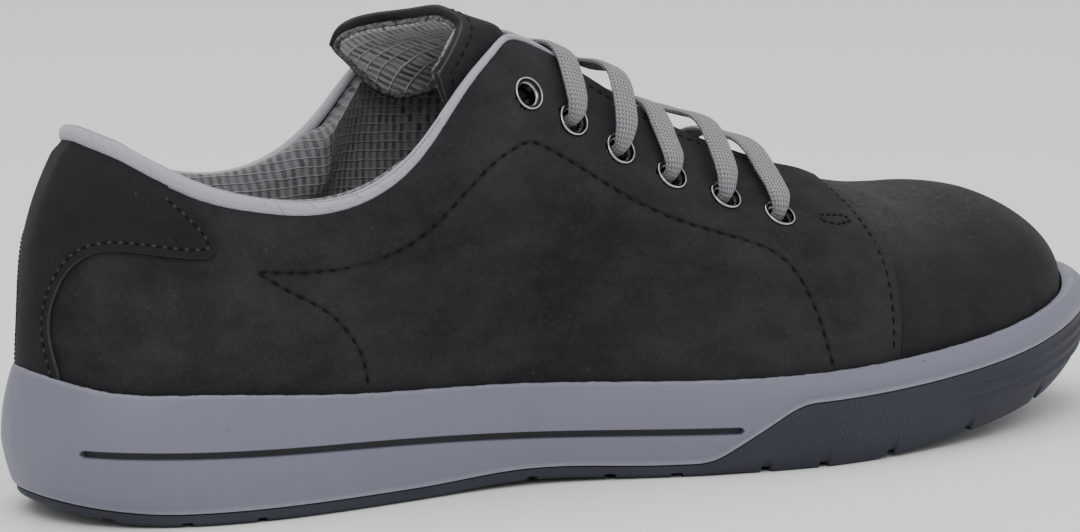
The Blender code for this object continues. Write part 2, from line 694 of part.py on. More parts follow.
def piping():
    """Build the cord that edges the collar, from one facing corner round the heel to the other."""
    share = np.append(UPPER_STATIONS[UPPER_STATIONS < PIPING_END - 0.002], PIPING_END)
    path = []
    for side in (-1, 1):
        outer, inner, _ = layers(side, share, np.ones(len(share)))
        across = inner - outer
        across[:, 2] = 0.0
        across /= np.linalg.norm(across, axis=1)[:, None]
        thin = PIPING_RADIUS * (1 - 0.25 * ramp(share, 0.31, 0.37))
        along = np.gradient(outer, axis=0)
        if side < 0:
            along[0] = (0.0, -1.0, 0.0)
        else:
            along[0] = (0.0, 1.0, 0.0)
        up = np.cross(along, across) * -side
        up /= np.linalg.norm(up, axis=1)[:, None]
        up *= np.sign(up[:, 2:3])
        path.append((outer + across * (thin * 0.95)[:, None] + up * (thin + 2 * CLEARANCE)[:, None], thin))
    line = np.concatenate((path[0][0][::-1], path[1][0][1:])) - MIDDLE
    thin = np.concatenate((path[0][1][::-1], path[1][1][1:])) / PIPING_RADIUS
    curve = bpy.data.curves.new("collar_piping", "CURVE")
    curve.dimensions = "3D"
    curve.bevel_depth = PIPING_RADIUS
    curve.bevel_resolution = 1
    curve.use_fill_caps = True
    spline = curve.splines.new("POLY")
    spline.points.add(len(line) - 1)
    for point, place, radius in zip(spline.points, line, thin):
        point.co = (*place, 1.0)
        point.radius = radius
    made = bpy.data.objects.new("collar_piping", curve)
    SNEAKER.objects.link(made)
    curve.materials.append(TAPE)
    return made


def tongue():
    """Build the padded tongue: it follows the inside of the facings and flares at the top."""
    across = np.linspace(-1, 1, 9)

    def arch(centre_x, centre_z, half, edge_x, edge_z):
        bend = np.abs(across)
        x = centre_x + (edge_x - centre_x) * bend ** 2
        z = centre_z + (edge_z - centre_z) * bend ** 2.2
        return np.column_stack((x * SOLE_LENGTH, half * SOLE_WIDTH * across, z * FACING_HEIGHT))

    rows = [arch(*row) for row in TONGUE_TOP]
    for share in TONGUE_STATIONS:
        sides = []
        for side in (-1, 1):
            rise = np.array((TONGUE_TUCK, (1 + TONGUE_TUCK) / 2, 1.0))
            _, inner, normal = layers(side, np.full(3, share), rise)
            sides.append(inner - normal * TONGUE_GAP)
        left, right = sides
        half = (right[2] - left[2])[1] / 2
        middle = (left[2] + right[2]) / 2 + np.array((0.0, 0.0, TONGUE_CROWN * half))
        quarter = [(middle + edge[2]) / 2 + np.array((0, 0, 0.25 * TONGUE_CROWN * half)) for edge in sides]
        rows.append(np.array([*left, quarter[0], middle, quarter[1], *right[::-1]]))
    rows += [arch(*row) for row in TONGUE_FOOT]
    face = np.array(rows)
    along = np.gradient(face, axis=0)
    sideways = np.gradient(face, axis=1)
    normal = np.cross(along, sideways)
    normal /= np.linalg.norm(normal, axis=-1)[..., None]
    normal *= np.sign(normal[..., 2:3])
    thick = np.interp(np.arange(len(rows)), (0, len(TONGUE_TOP) + 1, len(rows) - 1), (1.0, 1.0, 0.45))
    thick = TONGUE_THICKNESS * thick[:, None] * (1 - 0.45 * np.abs(across) ** 4)
    under = face - normal * thick[..., None]
    rings = [np.concatenate((top, low[::-1])) for top, low in zip(face, under)]
    return skin("tongue", rings, NUBUCK, caps="flat")


def insole():
    """Build the insole on the floor of the cup, inside the upper."""
    at = both(SOLE_STATIONS)
    edge = rim_inset(at) + LIP_WIDTH + CUP_FIT + VAMP_WALL + QUARTER_STEP + 3 * CLEARANCE
    low = cup_floor(at) + CLEARANCE
    rings = [
        sole_ring(SOLE_STATIONS, edge, low),
        sole_ring(SOLE_STATIONS, edge, low + 0.75 * INSOLE_THICKNESS),
        sole_ring(SOLE_STATIONS, edge + INSOLE_ROUND, low + INSOLE_THICKNESS),
    ]
    return skin("insole", rings, MESH)


def lace_bars():
    """Build the straight flat bars of the lacing; the top pair of eyelets stays empty."""
    for bar, lift in enumerate(LACE_RISE):
        number = bar + 1
        share, rise = EYELETS[number]
        halves = []
        for side in (-1, 1):
            rises = np.array((rise, rise, rise + 0.02, rise + 0.07, rise + 0.15, 1.0))
            # Height over the leather in thicknesses of the lace, then share of its width
            rows = (
                (-0.70, 0.58), (0.94, 0.62), (1.88, 0.80), (2.00 + 0.4 * lift, 1.0),
                (1.65 + 0.8 * lift, 1.0), (1.12 + lift, 1.0),
            )
            outer, _, normal = layers(side, np.full(len(rises), share), rises)
            normal[:3] = normal[0]
            line = outer + normal * np.array([r[0] for r in rows])[:, None] * LACE_THICKNESS
            halves.append((line, np.array([r[1] for r in rows])))
        (left, size), (right, _) = halves
        middle = (left[-1] + right[-1]) / 2 + np.array((0.0, 0.0, 0.47 * LACE_THICKNESS))
        line = np.concatenate((left, [middle], right[::-1]))
        size = np.concatenate((size, [1.0], size[::-1]))[:, None]
        way = np.gradient(line, axis=0)
        way /= np.linalg.norm(way, axis=1)[:, None]
        _, _, along = eyelet_place(-1, number)
        along_inner = eyelet_place(1, number)[2]
        blend = np.linspace(0, 1, len(line))[:, None]
        wide = along * (1 - blend) + along_inner * blend
        wide -= way * (wide * way).sum(1)[:, None]
        wide /= np.linalg.norm(wide, axis=1)[:, None]
        up = np.cross(way, wide) * LACE_THICKNESS / 2
        wide = wide * size * LACE_WIDTH / 2
        rings = [
            np.array((p - a * 0.8 - b, p + a * 0.8 - b, p + a, p + a * 0.8 + b, p - a * 0.8 + b, p - a))
            for p, a, b in zip(line, wide, up)
        ]
        skin(f"lace_bar_{number}", rings, BRAID, caps="flat")


slots(outsole())
midsole()
insole()
shell = upper()
counter()
piping()
tongue()
eyelets(shell)
lace_bars()
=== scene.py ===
"""A low lace-up safety sneaker, dressed for a studio picture.

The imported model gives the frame. Every piece below is drawn over the same last (the foot-shaped
surface that the shoe is built on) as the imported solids, in metres, with the toe towards +X.
"""
from __future__ import annotations

import logging
import math
from dataclasses import dataclass, field
from enum import Enum
from typing import Any, Callable, Iterable, Sequence

import bmesh
import bpy
import numpy as np
from mathutils import Matrix, Vector


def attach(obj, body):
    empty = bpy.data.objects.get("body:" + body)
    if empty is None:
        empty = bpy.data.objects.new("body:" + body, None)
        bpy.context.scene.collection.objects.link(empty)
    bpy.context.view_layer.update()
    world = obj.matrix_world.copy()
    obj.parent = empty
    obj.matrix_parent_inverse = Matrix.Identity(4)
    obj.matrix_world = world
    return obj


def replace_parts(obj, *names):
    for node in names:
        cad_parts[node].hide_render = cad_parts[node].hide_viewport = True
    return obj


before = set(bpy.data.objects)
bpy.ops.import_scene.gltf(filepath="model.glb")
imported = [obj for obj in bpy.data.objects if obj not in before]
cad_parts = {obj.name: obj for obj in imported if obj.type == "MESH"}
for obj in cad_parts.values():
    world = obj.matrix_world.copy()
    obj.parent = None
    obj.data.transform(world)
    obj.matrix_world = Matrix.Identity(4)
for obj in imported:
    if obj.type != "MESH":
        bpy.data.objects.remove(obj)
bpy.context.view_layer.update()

logging.basicConfig(level=logging.INFO, format="%(name)s: %(message)s")
LOG = logging.getLogger("sneaker")

Array = np.ndarray

# Plan of the sole: share of the length, share of the width
OUTER_PLAN = (
    (0.0000, 0.000), (0.0065, 0.104), (0.0228, 0.189), (0.0684, 0.288), (0.1530, 0.357),
    (0.2830, 0.344), (0.4140, 0.330), (0.5440, 0.453), (0.6580, 0.528), (0.7560, 0.503),
    (0.8530, 0.434), (0.9020, 0.371), (0.9450, 0.282), (0.9800, 0.166), (1.0000, 0.000),
)
INNER_PLAN = (
    (0.0000, 0.000), (0.0065, 0.104), (0.0228, 0.189), (0.0684, 0.283), (0.1530, 0.344),
    (0.2830, 0.316), (0.4140, 0.295), (0.5440, 0.373), (0.6580, 0.450), (0.7230, 0.472),
    (0.8050, 0.455), (0.8760, 0.415), (0.9350, 0.333), (0.9770, 0.210), (1.0000, 0.000),
)
# Top of the midsole wall: share of the length, share of the rim height
RIM_LINE = (
    (0.000, 1.000), (0.029, 0.928), (0.112, 0.869), (0.228, 0.787), (0.362, 0.715),
    (0.485, 0.664), (0.603, 0.645), (0.691, 0.659), (0.798, 0.710), (0.883, 0.795),
    (0.941, 0.880), (1.000, 0.955),
)
# The groove along the midsole: share of the length, share of the rim height
GROOVE_LINE = (
    (0.026, 0.512), (0.104, 0.480), (0.266, 0.425), (0.417, 0.346), (0.5775, 0.304),
)
# Wall sections: share of the length at the rim, then the top point as shares of the length,
# width and facing height, then lean in degrees and pull at the rim and at the top
QUARTER_SECTIONS = (
    (0.0000, 0.0586, 0.000, 0.825, -2.0, 0.42, 32.0, 0.38),
    (0.0098, 0.0635, 0.085, 0.816, -1.0, 0.42, 30.0, 0.38),
    (0.0390, 0.0814, 0.156, 0.785, 2.0, 0.42, 26.0, 0.38),
    (0.0880, 0.1205, 0.217, 0.721, 6.0, 0.40, 21.0, 0.38),
    (0.1600, 0.1760, 0.259, 0.672, 8.0, 0.40, 15.0, 0.38),
    (0.2440, 0.2510, 0.288, 0.662, 9.0, 0.40, 11.0, 0.38),
    (0.3090, 0.3175, 0.297, 0.757, 8.0, 0.40, 13.0, 0.38),
    (0.3616, 0.3680, 0.278, 0.910, 6.0, 0.42, 20.0, 0.38),
    (0.3910, 0.3990, 0.236, 0.970, 4.0, 0.44, 30.0, 0.36),
    (0.4137, 0.4220, 0.184, 0.990, 3.0, 0.46, 42.0, 0.34),
    (0.4330, 0.4430, 0.167, 0.973, 3.0, 0.46, 46.0, 0.34),
    (0.5110, 0.5240, 0.146, 0.842, 4.0, 0.48, 52.0, 0.36),
    (0.5990, 0.6100, 0.123, 0.717, 6.0, 0.50, 60.0, 0.38),
    (0.6840, 0.6940, 0.104, 0.630, 8.0, 0.50, 68.0, 0.40),
    (0.7313, 0.7300, 0.091, 0.597, 8.0, 0.50, 74.0, 0.42),
)
TOE_SECTIONS = (
    (0.7332, 0.7322, 0.089, 0.597, 8.0, 0.49, 76.0, 0.42),
    (0.7460, 0.7400, 0.045, 0.595, 8.0, 0.46, 84.0, 0.43),
    (0.7600, 0.7480, 0.000, 0.592, 8.0, 0.43, 90.0, 0.44),
    (0.7980, 0.7720, 0.000, 0.583, 7.0, 0.36, 90.0, 0.45),
    (0.8370, 0.7915, 0.000, 0.575, 6.0, 0.30, 90.0, 0.45),
    (0.9020, 0.7980, 0.000, 0.571, 5.0, 0.24, 90.0, 0.44),
    (1.0000, 0.7980, 0.000, 0.571, 3.0, 0.20, 90.0, 0.43),
)
# Edge of the heel counter: rise on the wall, share of the length
COUNTER_EDGE = (
    (0.015, 0.011), (0.13, 0.007), (0.27, 0.007), (0.345, 0.009), (0.425, 0.012), (0.488, 0.016),
    (0.545, 0.022), (0.582, 0.029), (0.615, 0.041), (0.645, 0.059), (0.672, 0.078), (0.696, 0.097),
    (0.715, 0.109), (0.753, 0.1165), (0.793, 0.117), (0.846, 0.113), (0.906, 0.101), (0.953, 0.086),
    (0.980, 0.074),
)
# Eyelets from the top of the facing down: share of the length, rise on the wall
EYELET_PLACES = (
    (0.419, 0.810), (0.459, 0.768), (0.500, 0.736), (0.545, 0.707), (0.592, 0.672), (0.637, 0.625),
)
# Height of each lace bar over the facing, in thicknesses of the lace
LACE_RISE = (0.00, 1.88, 0.00, 1.65, 0.65)
# Stitch lines on the quarter: share of the length, rise on the wall
PANEL_TOP_LINE = (
    (0.158, 0.678), (0.208, 0.692), (0.239, 0.697), (0.268, 0.694), (0.299, 0.688), (0.332, 0.690),
    (0.365, 0.698), (0.385, 0.690), (0.400, 0.668), (0.431, 0.632), (0.468, 0.588), (0.505, 0.540),
    (0.545, 0.502), (0.596, 0.460), (0.616, 0.426), (0.630, 0.360), (0.639, 0.270), (0.648, 0.160),
    (0.655, 0.070), (0.661, 0.010),
)
PANEL_LOW_LINE = (
    (0.158, 0.678), (0.192, 0.569), (0.223, 0.456), (0.246, 0.293), (0.259, 0.150), (0.264, 0.030),
)
# Corners of the small bar of stitches at the facing's end: share of the length, rise on the wall
BAR_TACK = (
    (0.676, 0.615), (0.680, 0.655), (0.706, 0.665), (0.7085, 0.625), (0.693, 0.600), (0.676, 0.615),
)
# Points along a drawn seam, and the radius of the holes under the eyelets
SEAM_POINTS = 160
EYELET_HOLE = 0.0034
# The tape: share of the length, then half its width, half its height, how far it stands
# outside the leather and how far down it sits on the edge, all in millimetres
TAPE_ROWS = (
    (0.0, 0.10, 0.20, 0.29, 0.37, 0.405, 0.43, 0.455),
    (1.90, 1.80, 1.70, 1.50, 1.05, 0.90, 0.72, 0.45),
    (2.25, 2.20, 1.90, 1.65, 1.05, 0.88, 0.68, 0.42),
    (1.2, 0.9, 0.5, 0.2, 0.1, 0.1, 0.1, 0.1),
    (0.6, 0.6, 0.4, 0.2, 0.0, 0.1, 0.1, 0.2),
)
# The tongue above the facings, row by row from its top, in millimetres from the frame's origin
TONGUE_FREE = (
    ((-47.9, -25.0, 105.7), (-44.5, -23.5, 109.2), (-38.5, -19.0, 115.5), (-36.9, -15.5, 117.8),
     (-38.2, -11.5, 119.8), (-39.0, -7.0, 120.5), (-42.3, 1.0, 119.2), (-47.1, 9.0, 117.7),
     (-51.6, 19.0, 114.9), (-53.0, 24.5, 111.4), (-53.3, 27.0, 108.0)),
    ((-45.1, -23.5, 98.7), (-39.9, -22.0, 105.7), (-33.0, -17.0, 113.6), (-30.2, -13.0, 116.1),
     (-29.4, -9.0, 116.6), (-30.5, -4.0, 116.6), (-32.3, 2.0, 115.8), (-35.7, 10.0, 113.9),
     (-39.9, 20.0, 109.3), (-43.3, 26.3, 102.4), (-42.5, 28.0, 97.8)),
    ((-36.8, -22.5, 93.4), (-32.2, -20.5, 102.4), (-26.4, -15.5, 110.4), (-23.7, -11.5, 113.1),
     (-22.5, -7.0, 113.6), (-22.7, -2.5, 113.5), (-24.2, 2.5, 112.6), (-25.8, 10.0, 110.1),
     (-28.8, 18.5, 105.5), (-31.2, 25.6, 97.4), (-32.2, 27.2, 92.4)),
)
# The lining's roll over the collar's edge: way across the wall, share of the roll's height
ROLL_PROFILE = (
    (0.30, 0.05), (0.40, 0.55), (0.52, 0.88), (0.64, 1.00), (0.76, 0.98), (0.87, 0.80), (0.96, 0.48),
)
# The tongue under the facings, by shares of the length
TONGUE_STATIONS = (0.433, 0.475, 0.525, 0.575, 0.625, 0.675, 0.715)
# The tongue's foot: its middle's place and height, half its width, its edge's place and height
TONGUE_FOOT = (
    (0.738, 0.548, 0.130, 0.738, 0.528), (0.762, 0.536, 0.110, 0.762, 0.518),
)
# Cross slots of the tread, by shares of the length
HEEL_SLOTS = (0.040, 0.099, 0.160)
FORE_SLOTS = (0.409, 0.472, 0.524, 0.596, 0.648, 0.715, 0.799, 0.888)


# Numbers and curves


def cubic(
    knots: Sequence[float], values: Any, start: Any = None, end: Any = None
) -> Callable[[Any], Array]:
    """Fit a cubic spline through values.

    Args:
        knots: Rising places of the values.
        values: One number or one row per knot.
        start: Slope at the first knot, or None for a natural end.
        end: Slope at the last knot, or None for a natural end.

    Returns:
        A function that evaluates the spline at any array of places.
    """
    knots = np.asarray(knots, float)
    values = np.asarray(values, float)
    flat = values.reshape(len(knots), -1)
    steps = np.diff(knots)
    slopes = np.diff(flat, axis=0) / steps[:, None]
    size = len(knots)
    matrix = np.zeros((size, size))
    right = np.zeros_like(flat)
    for i in range(1, size - 1):
        matrix[i, i - 1:i + 2] = steps[i - 1], 2 * (steps[i - 1] + steps[i]), steps[i]
        right[i] = 6 * (slopes[i] - slopes[i - 1])
    matrix[0, 0] = matrix[-1, -1] = 1.0
    if start is not None:
        matrix[0, :2] = 2 * steps[0], steps[0]
        right[0] = 6 * (slopes[0] - np.asarray(start, float))
    if end is not None:
        matrix[-1, -2:] = steps[-1], 2 * steps[-1]
        right[-1] = 6 * (np.asarray(end, float) - slopes[-1])
    bend = np.linalg.solve(matrix, right)

    def evaluate(at: Any) -> Array:
        """Evaluate the spline at the places given."""
        at = np.clip(np.asarray(at, float), knots[0], knots[-1])
        i = np.clip(np.searchsorted(knots, at, side="right") - 1, 0, size - 2)
        a = (at - knots[i])[..., None]
        b = (knots[i + 1] - at)[..., None]
        h = steps[i][..., None]
        low = flat[i] / h - bend[i] * h / 6
        high = flat[i + 1] / h - bend[i + 1] * h / 6
        out = (bend[i] * b ** 3 + bend[i + 1] * a ** 3) / (6 * h) + low * b + high * a
        return out.reshape(at.shape + values.shape[1:])

    return evaluate


def ramp(at: Any, low: float, high: float) -> Array:
    """Return a smooth rise from 0 at low to 1 at high."""
    share = np.clip((np.asarray(at, float) - low) / (high - low), 0.0, 1.0)
    return share * share * (3 - 2 * share)


def bump(at: Any, middle: float, half: float) -> Array:
    """Return a smooth hill of height 1 at the middle that ends half away from it."""
    share = np.clip(np.abs(np.asarray(at, float) - middle) / half, 0.0, 1.0)
    return (1 - share * share) ** 2


def unit(rows: Array) -> Array:
    """Return the rows scaled to length 1."""
    size = np.linalg.norm(rows, axis=-1)[..., None]
    return rows / np.where(size < 1e-12, 1.0, size)


def waves(at: Array, seed: int, octaves: int = 4) -> Array:
    """Return a smooth, irregular curve of about unit height, the same on each run."""
    rng = np.random.default_rng(seed)
    out = np.zeros_like(np.asarray(at, float))
    for octave in range(octaves):
        pitch = 2.0 ** octave * (0.8 + 0.4 * rng.random())
        out += np.sin(at * pitch + rng.random() * 6.28) / (1.0 + octave * 0.8)
    return out / 2.0


def arc_lengths(points: Array, axis: int) -> Array:
    """Return running lengths along one axis of a net of points."""
    step = np.linalg.norm(np.diff(points, axis=axis), axis=-1)
    pad = [(0, 0)] * step.ndim
    pad[axis] = (1, 0)
    return np.cumsum(np.pad(step, pad), axis=axis)


def evened(points: Array, count: int) -> Array:
    """Return a smooth line through the points, with its own points at even distances."""
    along = arc_lengths(points, 0)
    return cubic(along, points)(np.linspace(0, along[-1], count))


def softened(rows: Array, times: int) -> Array:
    """Return the rows, each drawn towards its neighbours again and again."""
    out = rows.copy()
    for _ in range(times):
        out[1:-1] = (out[:-2] + 2 * out[1:-1] + out[2:]) / 4
    return out


def between(at: Any, knots: Array, rows: Array) -> Array:
    """Return rows read off between the knots, in straight lines."""
    return np.stack([np.interp(at, knots, column) for column in rows.T], axis=-1)


def table_curve(table: Sequence[Sequence[float]]) -> Callable[[Any], Array]:
    """Return the spline through a table whose rows start with their place."""
    rows = np.array(table)
    return cubic(rows[:, 0], rows[:, 1] if rows.shape[1] == 2 else rows[:, 1:])


def spaced(path: Array, pitch: float, inset: float) -> Array:
    """Space points evenly along a path.

    Args:
        path: Points in order.
        pitch: Wanted distance between points.
        inset: Length left free at each end.

    Returns:
        The place of each new point, counted in the old points.
    """
    along = arc_lengths(path, 0)
    total = along[-1] - 2 * inset
    count = max(2, int(round(total / pitch)) + 1)
    return np.interp(inset + np.linspace(0.0, total, count), along, np.arange(len(path)))


# The last


class Side(Enum):
    """Side of the foot, with the sign of its Y."""

    OUTER = -1
    INNER = 1


PLANS = {Side.OUTER: OUTER_PLAN, Side.INNER: INNER_PLAN}


@dataclass
class Last:
    """The surfaces that the shoe is built on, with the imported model's sizes in metres."""

    sole_length: float = 0.307
    sole_width: float = 0.106
    rim_height: float = 0.0375
    facing_height: float = 0.1125
    heel_lift: float = 0.0035
    toe_spring: float = 0.0135
    arch_rise: float = 0.0012
    outsole_edge: float = 0.0033
    foxing_height: float = 0.0072
    rim_inset: float = 0.0020
    toe_bumper: float = 0.0020
    heel_swell: float = 0.0014
    heel_tuck: float = 0.0016
    lip_width: float = 0.0015
    toe_lip: float = 0.0018
    cup_fit: float = 0.0007
    lean_reach: float = 0.0200
    vamp_wall: float = 0.0020
    quarter_step: float = 0.0013
    collar_padding: float = 0.0035
    cup_depth: float = 0.0110
    fore_cup_depth: float = 0.0062
    climb: tuple[float, float] = (0.552, 0.627)
    wall_run: float = 0.075
    quarter_front: float = QUARTER_SECTIONS[-1][0]
    vamp_start: float = TOE_SECTIONS[0][0]
    ridge_start: float = TOE_SECTIONS[2][0]
    pole: float = TOE_SECTIONS[-2][0]
    middle: Array = field(init=False)

    def __post_init__(self) -> None:
        """Fit the splines and find the shift that centres the sole over the origin."""
        self._plan = {side: self._plan_curve(PLANS[side], side.value) for side in Side}
        self._rim, self._groove = table_curve(RIM_LINE), table_curve(GROOVE_LINE)
        self._quarter, self._toe = table_curve(QUARTER_SECTIONS), table_curve(TOE_SECTIONS)
        share = np.linspace(0, 1, 2001)
        width = np.concatenate([self._plan[s](share)[0][:, 1] for s in Side])
        self.middle = np.array(
            ((self.sole_length - self.heel_swell) / 2, (width.min() + width.max()) / 2, 0.0)
        )

    def _plan_curve(self, rows: Sequence[Sequence[float]], sign: int) -> Callable:
        """Return plan points and outward normals of one side over the length's share."""
        points = np.array(rows) * (self.sole_length, sign * self.sole_width)
        along = arc_lengths(points, 0)
        curve = cubic(along, points, start=(0.0, sign), end=(0.0, -sign))
        fine = np.linspace(0.0, along[-1], 4001)
        dense = curve(fine)
        tangent = np.gradient(dense, fine, axis=0)
        normal = unit(np.stack((tangent[:, 1], -tangent[:, 0]), axis=1) * -sign)
        rise = np.maximum.accumulate(dense[:, 0]) + np.arange(4001) * 1e-12

        def at(share: Any) -> tuple[Array, Array]:
            """Return the plan point and its normal."""
            place = np.interp(np.asarray(share) * self.sole_length, rise, fine)
            return curve(place), unit(between(place, fine, normal))

        return at

    def plan(self, side: Side, share: Any) -> tuple[Array, Array]:
        """Return the sole's widest line and its outward normal."""
        return self._plan[side](share)

    def ground(self, share: Any) -> Array:
        """Return the height of the tread face above the floor."""
        share = np.asarray(share, float)
        heel = self.heel_lift * np.clip(1 - share / 0.10, 0, 1) ** 2
        toe = self.toe_spring * np.clip((share - 0.65) / 0.35, 0, 1) ** 1.6
        return heel + toe + self.arch_rise * np.sin(np.pi * np.clip((share - 0.30) / 0.22, 0, 1)) ** 2

    def rim(self, share: Any) -> Array:
        """Return the height of the top of the midsole wall."""
        return self.rim_height * self._rim(share)

    def groove(self, share: Any) -> Array:
        """Return the height of the middle of the groove along the midsole."""
        return self.rim_height * self._groove(share)

    def rim_set(self, share: Any) -> Array:
        """Return how far the rim stands inside the sole's widest line."""
        return self.rim_inset + self.toe_bumper * ramp(share, 0.93, 1.0)

    def lip(self, share: Any) -> Array:
        """Return the width of the flat rim round the upper."""
        return self.lip_width + self.toe_lip * ramp(share, 0.90, 1.0)

    def heel_end(self, share: Any) -> Array:
        """Return 1 at the back of the heel, falling to 0 along the side."""
        return 1 - ramp(share, 0.02, 0.14)

    def joint(self, share: Any) -> Array:
        """Return the height at which outsole and midsole meet on the wall."""
        low = self.ground(share) + self.outsole_edge
        high = self.rim(share) - self.foxing_height
        way = (np.asarray(share, float)[..., None] - self.climb[0]) / (self.climb[1] - self.climb[0])
        way = np.clip(way + np.linspace(-0.16, 0.16, 9), 0, 1).mean(axis=-1)
        return low + (high - low) * way

    def cup_floor(self, share: Any) -> Array:
        """Return the height of the floor inside the midsole's wall."""
        drop = self.cup_depth - self.fore_cup_depth
        return self.rim(share) - self.cup_depth + drop * ramp(share, 0.44, 0.55)

    def reference(self, side: Side, share: Any, rise: Any) -> Array:
        """Return points of the upper's reference surface.

        Args:
            side: Side of the foot.
            share: Share of the length at the rim.
            rise: Way up the wall, 0 at the rim and 1 at the top.
        """
        share = np.clip(np.asarray(share, float), 0.0, 1.0)
        rise = np.asarray(rise, float)[..., None]
        xy, normal = self.plan(side, share)
        inset = self.rim_set(share) + self.lip(share) + self.cup_fit
        xy = xy - normal * inset[..., None]
        base = np.concatenate((xy, self.rim(share)[..., None]), axis=-1)
        front = (share > self.quarter_front)[..., None]
        row = np.where(front, self._toe(share), self._quarter(share))
        crown = np.where(front, self._toe(np.minimum(share, self.pole)), self._quarter(share))
        reach = np.where(share < self.ridge_start, np.maximum(crown[..., 1], 0), 0)
        top = np.stack(
            (crown[..., 0] * self.sole_length, side.value * reach * self.sole_width,
             crown[..., 2] * self.facing_height), axis=-1)
        out = unit(base[..., :2] - top[..., :2] + normal * self.lean_reach)
        span = np.linalg.norm(base - top, axis=-1)[..., None]
        low, high = np.radians(row[..., 3:4]), np.radians(row[..., 5:6])
        first = np.concatenate((out * np.sin(low), np.cos(low)), axis=-1)
        first = base + span * row[..., 4:5] * first
        last = np.concatenate((out * np.sin(high), -np.cos(high)), axis=-1)
        last = top + span * row[..., 6:7] * last
        a, b = (1 - rise) ** 3, 3 * rise * (1 - rise) ** 2
        c, d = 3 * rise ** 2 * (1 - rise), rise ** 3
        return a * base + b * first + c * last + d * top

    def normal(self, side: Side, share: Any, rise: Any) -> Array:
        """Return unit normals of the reference surface, pointing away from the foot."""
        share = np.asarray(share, float)
        rise = np.asarray(rise, float)
        low = np.where(share > self.quarter_front, self.vamp_start, 0.0)
        high = np.where(share > self.quarter_front, 1.0, self.quarter_front)
        a, b = np.clip(share - 0.002, low, high), np.clip(share + 0.002, low, high)
        c, d = np.clip(rise - 0.02, 0, 1), np.clip(rise + 0.02, 0, 1)
        along = self.reference(side, b, rise) - self.reference(side, a, rise)
        up = self.reference(side, share, d) - self.reference(side, share, c)
        normal = np.cross(along, up) * -side.value
        size = np.linalg.norm(normal, axis=-1)[..., None]
        flat = (size < 1e-9) | ((share >= self.ridge_start) & (rise > 0.999))[..., None]
        crown = np.array((0.03, 0.0, 1.0)) / math.hypot(0.03, 1.0)
        return np.where(flat, crown, normal / np.where(flat, 1.0, size))

    def layers(self, side: Side, share: Any, rise: Any) -> tuple[Array, Array, Array]:
        """Return the upper's outer face, inner face and normals, centred over the origin."""
        share, rise = np.broadcast_arrays(np.asarray(share, float), np.asarray(rise, float))
        normal = self.normal(side, share, rise)
        front = share > self.quarter_front
        outer = self.reference(side, share, rise)
        place = outer[..., 0] / self.sole_length
        fade = (1 - ramp(place, self.vamp_start, 0.93)) * (0.4 + 0.6 * ramp(rise, 0.0, 0.2))
        drop = np.where(front, self.quarter_step * fade, 0.0)
        pad = self.collar_padding * (1 - ramp(share, 0.31, 0.37)) * ramp(rise, 0.50, 0.90)
        pad = pad * self.heel_thinning(share)
        wall = self.vamp_wall + np.where(front, 0.0, self.quarter_step + pad)
        outer = outer - normal * drop[..., None] - self.middle
        return outer, outer - normal * wall[..., None], normal

    def heel_thinning(self, share: Any) -> Array:
        """Return the share of the collar's padding that is left towards the back."""
        return 0.2 + 0.8 * ramp(share, 0.0, 0.10)

    def skin(self, side: Side, share: Any, rise: Any, lift: Any = 0.0) -> Array:
        """Return points over the upper's outer face, lift above the leather."""
        outer, _, normal = self.layers(side, share, rise)
        return outer + normal * np.asarray(lift, float)[..., None]


LAST = Last()


# Meshes


def finish_mesh(
    name: str, made: bmesh.types.BMesh, finish: bpy.types.Material, smooth: float = 50.0
) -> bpy.types.Object:
    """Turn a bmesh into an object that rides on the shoe.

    Args:
        name: Name of the piece.
        made: The mesh, which is freed.
        finish: Its material.
        smooth: Edges sharper than this many degrees stay sharp.

    Returns:
        The object, at the origin.
    """
    mesh = bpy.data.meshes.new(name)
    made.to_mesh(mesh)
    made.free()
    mesh.shade_smooth()
    mesh.set_sharp_from_angle(angle=math.radians(smooth))
    mesh.materials.append(finish)
    piece = bpy.data.objects.new(name, mesh)
    bpy.context.scene.collection.objects.link(piece)
    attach(piece, "root")
    LOG.info("%s: %d faces", name, len(mesh.polygons))
    return piece


def net(
    points: Array, uv: Array | None = None, marks: dict[str, Array] | None = None,
    skip: Array | None = None,
) -> bmesh.types.BMesh:
    """Drape a grid over a net of points.

    Args:
        points: Places of the grid's corners, rows by columns by 3.
        uv: UV coordinates in metres, rows by columns by 2, or None for lengths along the net.
        marks: Named numbers for each corner, kept as attributes.
        skip: True where a corner's faces are left out.

    Returns:
        The mesh, with doubles merged.
    """
    rows, columns = points.shape[:2]
    made = bmesh.new()
    bmesh.ops.create_grid(made, x_segments=rows - 1, y_segments=columns - 1, size=1.0)
    if uv is None:
        uv = np.stack((arc_lengths(points, 0), arc_lengths(points, 1)), axis=-1)
    layer = made.loops.layers.uv.new("UVMap")
    stored = {key: made.verts.layers.float.new(key) for key in (marks or {})}
    drop = []
    for vert in made.verts:
        i = round((vert.co.x + 1) / 2 * (rows - 1))
        j = round((vert.co.y + 1) / 2 * (columns - 1))
        vert.co = points[i, j]
        for key, place in stored.items():
            vert[place] = float(marks[key][i, j])
        for loop in vert.link_loops:
            loop[layer].uv = uv[i, j]
        if skip is not None and skip[i, j]:
            drop.append(vert)
    if drop:
        bmesh.ops.delete(made, geom=drop, context="VERTS")
    bmesh.ops.remove_doubles(made, verts=made.verts, dist=3e-6)
    bmesh.ops.dissolve_degenerate(made, edges=made.edges, dist=1e-6)
    return made


